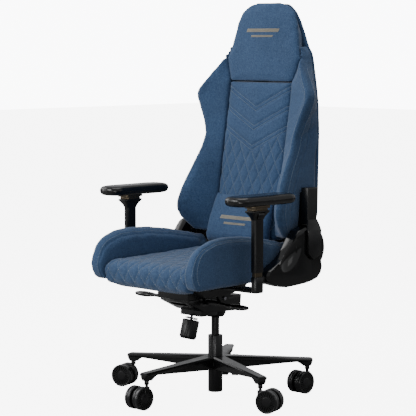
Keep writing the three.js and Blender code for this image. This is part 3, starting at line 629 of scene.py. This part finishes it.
def alongProfile(profile, distance):  # the place and outward direction that far along a side-view line
    for start, end in zip(profile, profile[1:]):
        step = (end - start).length
        if distance <= step or end is profile[-1]:
            along = (end - start).normalized()
            return start + along * distance, Vector((0, -along.z, along.y)).normalized()
        distance -= step


def profileLength(profile):
    return sum((end - start).length for start, end in zip(profile, profile[1:]))


def seatHalfWidth(y):
    return seatCushion["halfWidth"] - seatCushion["taper"] * (y - columnY)


def seatRays(line):
    rays = []
    for u, v in line:
        place, out = alongProfile(seatProfile, v)
        rays.append((place + Vector((u, 0, 0)) + out * seatCushion["above"], -out))
    return rays


def makeSeatCushion():
    cover = stuffedPiece("seat_cushion", seatCushion, ("seat_bolster_left", "seat_bolster_right", "seat_pan"))
    total = profileLength(seatProfile)
    inside = lambda u, v: abs(u) < seatHalfWidth(alongProfile(seatProfile, v)[0].y) - seatCushion["margin"]
    flat = quiltLines(seatCushion, -seatCushion["reach"], seatCushion["reach"], seatCushion["start"],
                      total - seatCushion["end"], inside)
    rows = [seatRays(line) for line in flat]
    sewnSurface(cover, rows, seatCushion)
    finishStuffed(cover, "seat_cushion", "seat", rows)


seatBolster = {
    "voxel": 0.006, "relax": 3, "pressure": 3.0, "cap": 0.0028, "ripple": 0.0008, "fill": 0.9,
    "dip": 0.0022, "width": 0.003, "from": 0.004, "until": 0.02, "step": 0.003,
    "sideSeam": 0.012, "topSeam": 0.006, "sideStitch": 0.019, "outerStitch": 0.009, "innerStitch": 0.013,
    "above": 0.06, "beside": 0.4, "below": 0.03, "outer": 0.23,
}


def bolsterProfile(sign):  # the bolster's outline in the side view, read from its own node
    points = meshPoints(nodes["seat_bolster_left" if sign > 0 else "seat_bolster_right"])
    stations = sorted({round(value, 4) for value in points[:, 1]})
    tops = [(y, points[np.abs(points[:, 1] - y) < 0.0002][:, 2].max()) for y in stations]
    lows = [(y, points[np.abs(points[:, 1] - y) < 0.0002][:, 2].min()) for y in stations]
    start = [Vector((0, y, low)) for y, low in reversed(lows[:4])]
    return start + [Vector((0, y, top)) for y, top in tops]


def makeBolster(side, sign):
    cover = stuffedPiece(f"seat_bolster_{side}", seatBolster,
                         ("seat_cushion", "seat_pan", f"recliner_bracket_{side}", f"recliner_cover_{side}"))
    profile = bolsterProfile(sign)
    total = profileLength(profile)
    distances = np.arange(seatBolster["from"], total - seatBolster["until"], seatBolster["step"])
    tree = treeOf(cover)
    beside, inwards = sign * seatBolster["beside"], Vector((-sign, 0, 0))

    def bandLine(fromOuter, fromInner):  # a line along the top band, that far from one of its edges
        rays = []
        for distance in distances:
            place, out = alongProfile(profile, distance)
            inner = seatHalfWidth(place.y)
            spot = place - out * seatBolster["below"]
            outerSpot = tree.ray_cast(Vector((beside, spot.y, spot.z)), inwards, seatBolster["beside"])[0]
            outer = abs(outerSpot.x) if outerSpot is not None else seatBolster["outer"]
            across = outer - fromOuter if fromOuter else inner + fromInner
            rays.append((Vector((sign * across, place.y, place.z)) + out * seatBolster["above"], -out))
        return rays

    def sideLine(inset):  # a line on the outer side, that far inside the outline
        rays = []
        for distance in distances:
            place, out = alongProfile(profile, distance)
            spot = place - out * inset
            rays.append((Vector((beside, spot.y, spot.z)), inwards))
        return rays

    sewnSurface(cover, (sideLine(seatBolster["sideSeam"]), bandLine(None, seatBolster["topSeam"])), seatBolster)
    rows = (bandLine(seatBolster["outerStitch"], None), sideLine(seatBolster["sideStitch"]),
            bandLine(None, seatBolster["innerStitch"]))
    finishStuffed(cover, f"seat_bolster_{side}", "seat", rows)


makeSeatCushion()
for side, sign in bothSides:
    makeBolster(side, sign)
print("seat made")

# Back

backCushion = {
    "voxel": 0.0064, "relax": 1, "pressure": 3.0, "cap": 0.0026, "ripple": 0.0006, "fill": 0.85,
    "dip": 0.0026, "width": 0.0055, "edge": 0.1435, "highest": 1.06,
    "tips": (985, 971, 918.5, 905, 850, 835), "slope": 0.5, "points": 97,  # chevrons; their tips in mm
    "across": 0.046, "along": 0.084, "step": 0.003, "phase": (0.023, 0.796),  # diamonds below them
    "low": 0.56, "high": 0.93, "margin": 0.002,
}
headCushion = {"voxel": 0.0062, "relax": 1, "pressure": 3.0, "cap": 0.0022, "ripple": 0.0008, "fill": 0.9}
backWing = {
    "voxel": 0.0055, "relax": 4, "pressure": 3.0, "cap": 0.0026, "ripple": 0.0009, "fill": 0.9,
    "dip": 0.002, "width": 0.003, "low": 0.556, "high": 1.12, "step": 0.006, "slice": 0.004, "evening": 6,
    "inset": 0.003, "seam": 0.024, "stitch": 0.007, "panel": 0.062, "panelLow": 0.6, "panelHigh": 1.08,
    "before": -0.25, "beside": 0.4,
}
backShell = {
    "voxel": 0.007, "relax": 2, "pressure": 1.5, "cap": 0.0012, "ripple": 0.0006, "fill": 0.95,
    "dip": 0.002, "width": 0.003, "behind": 0.5, "step": 0.004, "low": 0.55, "high": 1.3,
    "side": 0.165, "lean": 0.1, "leanFrom": 1.12, "across": 0.16, "crossSeam": 0.6, "stitch": 0.006,
}
wings = ("back_wing_left", "back_wing_right")
lumbarPillow = {"voxel": 0.006, "relax": 6, "pressure": 5.0, "cap": 0.006, "ripple": 0.0012, "fill": 0.8}


def frontRays(line):
    return [(Vector((u, backWing["before"], v)), rearwards) for u, v in line]


def makeBackCushion():
    cover = stuffedPiece("back_cushion", backCushion, (*wings, "head_cushion", "back_shell"))
    edge, slope = backCushion["edge"], backCushion["slope"]
    flat = []
    for tip in backCushion["tips"]:
        flat.append([(u, tip / 1000 + slope * abs(u)) for u in np.linspace(-edge, edge, backCushion["points"])])
    lowest = backCushion["tips"][-1] / 1000
    below = lambda u, v: v < lowest + slope * abs(u) - backCushion["margin"]
    flat += quiltLines(backCushion, -edge, edge, backCushion["low"], backCushion["high"], below)
    flat = [[(u, v) for u, v in line if v < backCushion["highest"]] for line in flat]
    rows = [frontRays(line) for line in flat]
    sewnSurface(cover, rows, backCushion)
    finishStuffed(cover, "back_cushion", "backrest", rows)


def makeHeadCushion():
    cover = stuffedPiece("head_cushion", headCushion, (*wings, "back_cushion", "back_shell"))
    finishStuffed(cover, "head_cushion", "backrest")


def makeWing(side, sign):
    cover = stuffedPiece(f"back_wing_{side}", backWing, ("back_cushion", "head_cushion", "back_shell",
                                                         f"back_bracket_{side}", f"back_bracket_cover_{side}"))
    points = meshPoints(cover)
    ridge = []
    for level in np.arange(backWing["low"], backWing["high"], backWing["step"]):
        ring = points[np.abs(points[:, 2] - level) < backWing["slice"]]
        front = ring[ring[:, 1].argmin()]
        ridge.append(Vector((front[0], front[1], level)))
    for _ in range(backWing["evening"]):
        ridge = [ridge[0]] + [(a + b * 2 + c) / 4 for a, b, c in zip(ridge, ridge[1:], ridge[2:])] + [ridge[-1]]
    beside, inwards = sign * backWing["beside"], Vector((-sign, 0, 0))
    frontLine = [(Vector((spot.x - sign * backWing["inset"], backWing["before"], spot.z)), rearwards)
                 for spot in ridge]
    seamLine = [(Vector((beside, spot.y + backWing["seam"], spot.z)), inwards) for spot in ridge]
    panelLine = [(Vector((beside, spot.y + backWing["panel"], spot.z)), inwards) for spot in ridge
                 if backWing["panelLow"] < spot.z < backWing["panelHigh"]]
    sewnSurface(cover, (seamLine, panelLine), backWing)
    stitchLine = [(place + Vector((0, backWing["stitch"], 0)), way) for place, way in seamLine]
    finishStuffed(cover, f"back_wing_{side}", "backrest", (frontLine, stitchLine))


def makeBackShell():
    cover = stuffedPiece("back_shell", backShell, (*wings, "back_cushion", "head_cushion"))
    lines = []
    behind, step, shift = backShell["behind"], backShell["step"], backShell["stitch"]
    for sign in (1, -1):
        line = []
        for v in np.arange(backShell["low"], backShell["high"], step):
            u = sign * (backShell["side"] - backShell["lean"] * max(0, v - backShell["leanFrom"]))
            line.append((Vector((u, behind, v)), -rearwards))
        lines.append(line)
    acrossPlaces = np.arange(-backShell["across"], backShell["across"] + 0.001, step)
    lines.append([(Vector((u, behind, backShell["crossSeam"])), -rearwards) for u in acrossPlaces])
    sewnSurface(cover, lines, backShell)
    shifted = [[(place + Vector((shift if place.x > 0 else -shift, 0, 0)), way) for place, way in rays]
               for rays in lines[:2]]
    shifted += [[(place + Vector((0, 0, shift)), way) for place, way in lines[2]]]
    finishStuffed(cover, "back_shell", "backrest", shifted)


def makePillow():
    cover = stuffedPiece("lumbar_pillow", lumbarPillow, ("back_cushion",))
    finishStuffed(cover, "lumbar_pillow", "backrest")


makeBackCushion()
makeHeadCushion()
for side, sign in bothSides:
    makeWing(side, sign)
makeBackShell()
makePillow()
print("back made")

# Plain embroidered bars on the head panel and the pillow

satin = {"pitch": 0.0011, "points": 7, "half": 0.0006, "rise": 0.0009, "sink": 0.0006, "lean": 0.35}


def embroiderBars(name, cover, bars):  # satin stitch: threads side by side across each slanting bar
    threads = []
    for bar in bars:
        half = bar["height"] / 2
        for u in np.arange(bar["from"], bar["to"], satin["pitch"]):
            places = [(u + (v + half) * satin["lean"], bar["level"] + v)
                      for v in np.linspace(-half, half, satin["points"])]
            threads.append(traceRays(cover, frontRays(places)))
    threads = [line for line in threads if len(line) > 2]
    points, faces = [], []
    for line in threads:
        for (a, na), (b, nb) in zip(line, line[1:]):
            along = (b - a).normalized()
            side = along.cross(na).normalized() * satin["half"]
            base = len(points)
            for spot, normal in ((a, na), (b, nb)):
                points += [spot - side, spot + normal * satin["rise"],
                           spot + side, spot - normal * satin["sink"]]
            for k in range(4):
                faces.append((base + k, base + (k + 1) % 4, base + 4 + (k + 1) % 4, base + 4 + k))
            faces += [(base + 3, base + 2, base + 1, base), (base + 4, base + 5, base + 6, base + 7)]
    mesh = bpy.data.meshes.new(name)
    mesh.from_pydata([tuple(point) for point in points], [], faces)
    piece = bpy.data.objects.new(name, mesh)
    softScene.collection.objects.link(piece)
    cleanMesh(piece)
    finishPiece(piece, "backrest", trimThread)


headBars = [
    {"from": -0.084, "to": 0.066, "level": 1.249, "height": 0.012},
    {"from": -0.060, "to": 0.042, "level": 1.229, "height": 0.007},
]
pillowBars = [
    {"from": -0.075, "to": 0.075, "level": 0.604, "height": 0.012},
    {"from": -0.051, "to": 0.051, "level": 0.584, "height": 0.007},
]
embroiderBars("head_embroidery", bpy.data.objects["head_cushion_cover"], headBars)
embroiderBars("pillow_embroidery", bpy.data.objects["lumbar_pillow_cover"], pillowBars)

# Hard pieces: rings skinned together, turned pieces and blocks


def skinRings(name, rings):  # rings of points bridged in turn, with both ends filled
    deselectAll()
    count = len(rings[0])
    bpy.ops.mesh.primitive_circle_add(vertices=count)
    piece = bpy.context.object
    piece.name = name
    bpy.ops.object.mode_set(mode="EDIT")
    for _ in rings[1:]:
        bpy.ops.mesh.primitive_circle_add(vertices=count)
    endEdit()
    setPoints(piece, np.array([tuple(point) for ring in rings for point in ring]))
    bpy.ops.object.mode_set(mode="EDIT")
    bpy.ops.mesh.select_all(action="SELECT")
    bpy.ops.mesh.bridge_edge_loops()
    bpy.ops.mesh.select_all(action="SELECT")
    bpy.ops.mesh.fill_holes(sides=0)
    bpy.ops.mesh.select_all(action="SELECT")
    bpy.ops.mesh.normals_make_consistent(inside=False)
    endEdit()
    return piece


def turnPiece(name, profile, steps=56):  # spun about Z; the profile's points are (radius, height) in mm
    mesh = bpy.data.meshes.new(name)
    points = [(radius / 1000, 0, height / 1000) for radius, height in profile]
    mesh.from_pydata(points, [(k, k + 1) for k in range(len(points) - 1)], [])
    piece = bpy.data.objects.new(name, mesh)
    softScene.collection.objects.link(piece)
    editFaces(piece)
    bpy.ops.mesh.spin(steps=steps, angle=2 * math.pi, center=(0, 0, 0), axis=(0, 0, 1))
    endEdit()
    cleanMesh(piece)
    return piece


def secondSector(face, count):  # true for every second one of twice that many sectors about Z
    middle = face.calc_center_median()
    return int(math.degrees(math.atan2(middle.y, middle.x)) % 360 / (180 / count)) % 2 == 0


def addBlock(name, low, high, bevel):
    deselectAll()
    bpy.ops.mesh.primitive_cube_add(size=1, location=(low + high) / 2)
    block = bpy.context.object
    block.name = name
    block.scale = high - low
    applyPlace(block)
    addModifier(block, "BEVEL", width=bevel, segments=3)
    applyModifiers(block)
    return block


def combine(piece, other, operation):
    modifier = addModifier(piece, "BOOLEAN", operation=operation, solver="EXACT")
    modifier.object = other
    applyModifiers(piece)
    bpy.data.objects.remove(other)


def bevelEdges(piece, width, segments=2, angle=28):
    addModifier(piece, "BEVEL", width=width, segments=segments, limit_method="ANGLE",
                angle_limit=math.radians(angle), miter_outer="MITER_ARC", use_clamp_overlap=True)
    applyModifiers(piece)


def eulerMatrix(x=0.0, y=0.0, z=0.0):
    turn = Matrix.Rotation(math.radians(z), 4, "Z") @ Matrix.Rotation(math.radians(y), 4, "Y")
    return turn @ Matrix.Rotation(math.radians(x), 4, "X")


# Star base

starBase = {
    "legs": (270, 342, 54, 126, 198), "hubTop": 137, "tipTop": 118.5, "hubRadius": 31, "radius": 340,
    "chamfer": 4.5, "undercut": 3.2, "ledgeDrop": 3, "keelTop": 5.5, "keelRise": 2, "keelFoot": 8,
    "tipDrop": 0.8, "bevel": 0.0011,
    "hub": ((0, 92), (30, 90), (33, 93), (34, 101), (37.5, 106), (38, 134), (35.5, 137.5), (0, 137.5)),
    "bore": ((0, 60), (25.25, 60), (25.25, 160), (0, 160)),
}
legStations = (  # radius, width, underside, ledge
    (18, 52, 92, 13), (60, 48, 93, 12.5), (140, 44, 97.5, 11.5), (217, 40.5, 102.5, 10.5),
    (286, 37.5, 106.5, 9), (300, 37, 98, 9), (308, 36.5, 91.5, 9), (332, 36, 91, 9),
    (337, 35, 97, 8), (340, 30, 104, 7),
)


def legRing(radius, width, top, bottom, ledge):  # the leg's section: flat top, narrow chamfer, ledge and keel
    half, chamfer = width / 2, starBase["chamfer"]
    side = [(half - chamfer, top), (half, top - chamfer), (half, top - ledge),
            (half - starBase["undercut"], top - ledge - starBase["ledgeDrop"]),
            (half - starBase["keelTop"], bottom + starBase["keelRise"]), (half - starBase["keelFoot"], bottom)]
    section = side + [(-across, level) for across, level in reversed(side)]
    return [Vector((radius / 1000, across / 1000, level / 1000)) for across, level in section]


def makeStarBase():
    slope = (starBase["hubTop"] - starBase["tipTop"]) / (starBase["radius"] - starBase["hubRadius"])
    rings = []
    for radius, width, bottom, ledge in legStations:
        top = starBase["hubTop"] - slope * (radius - starBase["hubRadius"])
        top -= starBase["tipDrop"] if radius >= starBase["radius"] else 0
        rings.append(legRing(radius, width, top, bottom, ledge))
    leg = skinRings("leg", rings)
    hub = turnPiece("star_base_shell", starBase["hub"])
    for angle in starBase["legs"]:
        combine(hub, copyPiece(leg, "legCopy", eulerMatrix(z=angle)), "UNION")
    bpy.data.objects.remove(leg)
    combine(hub, turnPiece("bore", starBase["bore"], 64), "DIFFERENCE")
    bevelEdges(hub, starBase["bevel"], 2, 24)
    hub.data.transform(Matrix.Translation(at(0, 0, 0)))
    finishPiece(hub, "base", paintedBlack, ("star_base",), 30)


makeStarBase()
print("star base made")

# Casters

caster = {
    "stemRadius": 323, "trail": 34, "wheelRadius": 39, "headings": (270, 18, 270, 126, 198),
    "spokes": 22, "swirl": 9, "slotFrom": 0.02, "slotTo": 0.028, "slotRim": 0.0005, "slotDepth": 0.0045,
    "swirlRim": 0.032, "swirlSpan": 0.0164, "swirlAbove": 0.02, "wheelBevel": 0.0004, "forkBevel": 0.0009,
}
wheelProfile = (
    (0, 7), (30, 7), (36.5, 7), (38.4, 8), (39, 9.6), (39, 16.2), (38.2, 16.9), (38.2, 18.3), (39, 19),
    (39, 28.2), (38.2, 29.6), (36.8, 30), (34.8, 30), (33.8, 28.4), (32, 28.2), (15.6, 27.8), (14.6, 28.8),
    (7, 29.5), (0, 29.6),
)


def makeWheel():
    wheel = turnPiece("wheel", wheelProfile, caster["spokes"] * 2)
    inBand = lambda face: caster["slotFrom"] < face.calc_center_median().xy.length < caster["slotTo"]
    isSlot = lambda face: face.normal.z > 0.5 and inBand(face) and secondSector(face, caster["spokes"])
    editFaces(wheel, isSlot)
    bpy.ops.mesh.inset(thickness=caster["slotRim"], depth=0, use_individual=True)
    bpy.ops.mesh.extrude_faces_move(TRANSFORM_OT_shrink_fatten={"value": -caster["slotDepth"]})
    endEdit()
    points = meshPoints(wheel)
    radius = np.linalg.norm(points[:, :2], axis=1)
    share = np.clip((caster["swirlRim"] - radius) / caster["swirlSpan"], 0, 1)
    turn = np.radians(caster["swirl"]) * share * (points[:, 2] > caster["swirlAbove"])
    x, y = points[:, 0].copy(), points[:, 1].copy()
    points[:, 0], points[:, 1] = x * np.cos(turn) - y * np.sin(turn), x * np.sin(turn) + y * np.cos(turn)
    setPoints(wheel, points)
    bevelEdges(wheel, caster["wheelBevel"], 1, 40)
    return wheel


def makeCasters():
    wheel = makeWheel()
    toOuter = Matrix.Rotation(math.radians(-90), 4, "X")  # the wheel's axis, +Z, turned to +Y
    for number, (angle, heading) in enumerate(zip(starBase["legs"], caster["headings"]), 1):
        stem = Matrix.Rotation(math.radians(angle), 4, "Z") @ Vector((caster["stemRadius"] / 1000, 0, 0))
        frameMatrix = Matrix.Translation(at(0, 0, 0) + stem) @ Matrix.Rotation(math.radians(heading), 4, "Z")
        hubPlace = Matrix.Translation((caster["trail"] / 1000, 0, caster["wheelRadius"] / 1000))
        for letter, flip in (("a", 1), ("b", -1)):
            side = Matrix.Scale(flip, 4, (0, 1, 0))
            node = f"caster_{number}_wheel_{letter}"
            made = copyPiece(wheel, f"{node}_turned", frameMatrix @ hubPlace @ side @ toOuter)
            finishPiece(made, node, wheelBlack, (node,), 25)
        fork = nodeCopy(f"caster_{number}_housing", f"caster_{number}_fork")
        bevelEdges(fork, caster["forkBevel"])
        finishPiece(fork, f"caster_{number}", glossBlack, (f"caster_{number}_housing",))
    bpy.data.objects.remove(wheel)


makeCasters()
print("casters made")

# Gas lift

gasLift = {
    "tube": ((0, 11.3), (22, 11.3), (24.2, 12), (25, 13.6), (25, 206.6), (24.3, 208.2), (22.4, 208.5),
             (21.9, 207.6), (21.9, 120), (0, 120)),
    "piston": ((0, 100), (14, 100), (14, 333), (0, 333)),
}


def makeLiftPart(part, node, body, steps):
    piece = turnPiece(f"gas_lift_{part}", gasLift[part], steps)
    piece.data.transform(Matrix.Translation(at(0, 0, 0)))
    finishPiece(piece, body, paintedBlack, (node,))


makeLiftPart("tube", "gas_lift_column", "base", 64)
makeLiftPart("piston", "gas_lift_cylinder", "lift", 56)

# Tension knob

knob = {
    "y": -125, "z": 241, "tilt": 16, "ribs": 26, "ribRadius": 0.028, "ribRim": 0.0004, "ribDepth": 0.0009,
    "profile": ((0, -33), (21.5, -33), (23.5, -32.4), (28.6, -26.5), (29, -25.2), (29, 29.5), (28, 31.8),
                (25.5, 33), (8, 33), (6, 31), (4, 31), (4, 47), (0, 47)),
}


def makeKnob():
    piece = turnPiece("tension_knob_grip", knob["profile"], knob["ribs"] * 2)
    onSide = lambda face: abs(face.normal.z) < 0.3 and face.calc_center_median().xy.length > knob["ribRadius"]
    editFaces(piece, lambda face: onSide(face) and secondSector(face, knob["ribs"]))
    bpy.ops.mesh.inset(thickness=knob["ribRim"], depth=-knob["ribDepth"], use_individual=True)
    endEdit()
    piece.data.transform(Matrix.Translation(at(0, knob["y"], knob["z"])) @ eulerMatrix(x=-knob["tilt"]))
    finishPiece(piece, "tension_knob", plasticBlack, ("tension_knob",), 24)


makeKnob()

# Levers under the seat

lever = {
    "y": -120, "z": 341, "shoulder": 0.72,
    "shaftRadius": 0.005, "shaftLength": 0.07, "shaftX": 62, "bevel": 0.0008,
    "sections": (  # x, half width, underside, top
        (74, 8, -7, 9), (86, 11, -9, 11), (130, 11, -8, 8), (168, 10, -6, 4), (180, 12, -7, 4),
        (198, 19, -10, 6), (226, 21, -11, 7), (252, 19, -10, 6), (264, 13, -7, 4), (269, 5, -3, 1)),
}


def makeLever(sign, body):
    rings = []
    shoulder = lever["shoulder"]
    for x, half, low, high in lever["sections"]:
        middle = (low + high) / 2
        section = ((-1, middle), (-shoulder, low), (0, low), (shoulder, low), (1, middle), (shoulder, high),
                   (0, high), (-shoulder, high))
        rings.append([at(sign * x, lever["y"] + a * half, lever["z"] + b) for a, b in section])
    paddle = skinRings("paddle", rings)
    addModifier(paddle, "SUBSURF", levels=2, render_levels=2)
    applyModifiers(paddle)
    deselectAll()
    bpy.ops.mesh.primitive_cylinder_add(
        vertices=24, radius=lever["shaftRadius"], depth=lever["shaftLength"], rotation=(0, math.pi / 2, 0),
        location=at(sign * lever["shaftX"], lever["y"], lever["z"]))
    shaft = bpy.context.object
    applyPlace(shaft)
    bevelEdges(shaft, lever["bevel"])
    made = joinPieces([paddle, shaft], f"{body}_paddle")
    finishPiece(made, body, glossBlack, (body,), 40)


makeLever(1, "tilt_lever")
makeLever(-1, "height_lever")
print("lift, knob and levers made")

# Mechanism, brackets and arm posts: the frame's own shapes with worked edges

workedNodes = [  # node, body, slot, material, bevel
    ("tilt_housing", "lift", "black_cast_aluminium", paintedBlack, 0.0016),
    ("tilt_shaft", "lift", "bare_steel", steelBright, 0.0006),
    ("seat_plate", "seat", "powder_coated_metal", paintedBlack, 0.0008),
    ("seat_pan", "seat", "satin_plastic", plasticBlack, 0.0012),
    ("gas_lift_guide", "base", "satin_plastic", plasticBlack, 0.0004),
    ("gas_lift_rod", "lift_rod", "bare_steel", steelBright, 0.0004),
    ("tension_spring", "lift", "bare_steel", steelBright, 0),
    ("recliner_rod", "recline_lever", "bare_steel", paintedBlack, 0.0006),
    ("back_base_panel", "backrest", "satin_plastic", plasticBlack, 0.002),
    ("recline_lever", "recline_lever", "gloss_plastic", glossBlack, 0.0012),
]
for side, _ in bothSides:
    workedNodes += [
        (f"recliner_bracket_{side}", "seat", "powder_coated_metal", plasticBlack, 0.0008),
        (f"back_bracket_{side}", "backrest", "powder_coated_metal", plasticBlack, 0.0008),
        (f"back_bracket_cover_{side}", "backrest", "satin_plastic", plasticBlack, 0.0014),
        (f"arm_bracket_{side}", "seat", "powder_coated_metal", paintedBlack, 0.0016),
        (f"arm_sleeve_{side}", f"arm_post_{side}", "satin_plastic", plasticBlack, 0.002),
        (f"arm_trigger_{side}", f"arm_trigger_{side}", "gloss_plastic", glossBlack, 0.0007),
        (f"arm_swivel_plate_{side}", f"arm_swivel_{side}", "bronze_metal", bronzePlate, 0.0009),
        (f"arm_slide_plate_{side}", f"arm_slide_{side}", "bronze_metal", bronzePlate, 0.0009),
    ]
for node, bodyName, slotName, material, edge in workedNodes:
    worked = nodeCopy(node, f"{node}_worked")
    if edge:
        bevelEdges(worked, edge)
    finishPiece(worked, bodyName, material, (node,))
print("worked pieces made")

# Recliner side covers: a swept tail, a round boss and a scooped hollow in front of it

recliner = {
    "y": 170, "z": 515, "inner": 248, "rim": 283, "outer": 290, "taper": 0.93, "bevel": 0.0016,
    "boss": ((0, 248), (78, 248), (78, 277), (75, 278), (69, 283), (56, 284), (54, 282), (38, 282), (0, 282)),
    "bore": ((0, 200), (6, 200), (6, 330), (0, 330)),
    "scoop": {"place": (306, 66, 500), "size": (30, 76, 44), "turn": 46},
    "tail": ((-47, 440), (-45, 447), (-38, 455), (-20, 463), (4, 475), (28, 489), (46, 503), (66, 523),
             (84, 550), (108, 578), (150, 590), (200, 560), (212, 515), (226, 470), (230, 450), (224, 430),
             (206, 413), (180, 405), (150, 400), (100, 396), (50, 394), (20, 398), (-10, 406), (-26, 414),
             (-38, 424)),
}


def makeReclinerCover(side, sign):
    tail = recliner["tail"]
    midY, midZ = sum(y for y, _ in tail) / len(tail), sum(z for _, z in tail) / len(tail)
    rings = []
    for level, grown in (("inner", 1.0), ("rim", 1.0), ("outer", recliner["taper"])):
        rings.append([at(sign * recliner[level], midY + (y - midY) * grown, midZ + (z - midZ) * grown)
                      for y, z in tail])
    cover = skinRings(f"recliner_cover_{side}_shell", rings)
    hollow = recliner["scoop"]
    deselectAll()
    bpy.ops.mesh.primitive_uv_sphere_add(segments=64, ring_count=32, radius=1)
    scoop = bpy.context.object
    scoop.data.transform(Matrix.Diagonal((*(Vector(hollow["size"]) / 1000), 1)))
    scoopPlace = at(sign * hollow["place"][0], *hollow["place"][1:])
    scoop.data.transform(Matrix.Translation(scoopPlace) @ eulerMatrix(x=hollow["turn"]))
    combine(cover, scoop, "DIFFERENCE")
    pivot = Matrix.Translation(at(0, recliner["y"], recliner["z"]))
    toSide = pivot @ Matrix.Rotation(math.radians(90 * sign), 4, "Y")
    for part, steps, operation in (("boss", 72, "UNION"), ("bore", 24, "DIFFERENCE")):
        turned = turnPiece(part, recliner[part], steps)
        turned.data.transform(toSide)
        combine(cover, turned, operation)
    bevelEdges(cover, recliner["bevel"], 3, 24)
    finishPiece(cover, "seat", glossBlack, (f"recliner_cover_{side}",), 30)


for side, sign in bothSides:
    makeReclinerCover(side, sign)
print("recliner covers made")

# Bronze tube that shows under each arm sleeve

armTube = {"x": 305, "y": -114, "width": 16.6, "depth": 32.6, "bottom": 446.2, "top": 520, "bevel": 0.0016}


def makeArmTube(side, sign):
    middle = at(sign * armTube["x"], armTube["y"], (armTube["bottom"] + armTube["top"]) / 2)
    half = Vector((armTube["width"], armTube["depth"], armTube["top"] - armTube["bottom"])) / 2000
    tube = addBlock(f"arm_tube_{side}", middle - half, middle + half, armTube["bevel"])
    finishPiece(tube, "seat", bronzePlate)


for side, sign in bothSides:
    makeArmTube(side, sign)

# Armpads

armPad = {"voxel": 0.0036, "relax": 4, "pressure": 2.0, "cap": 0.0012, "ripple": 0.00003, "fill": 1.0}


def makeArmPad(side):
    cover = stuffedPiece(f"arm_pad_{side}", armPad, (f"arm_slide_plate_{side}",), "skin")
    finishPiece(cover, f"arm_pad_{side}", padBlack, (f"arm_pad_{side}",), 60)


for side, _ in bothSides:
    makeArmPad(side)
print("armpads made")
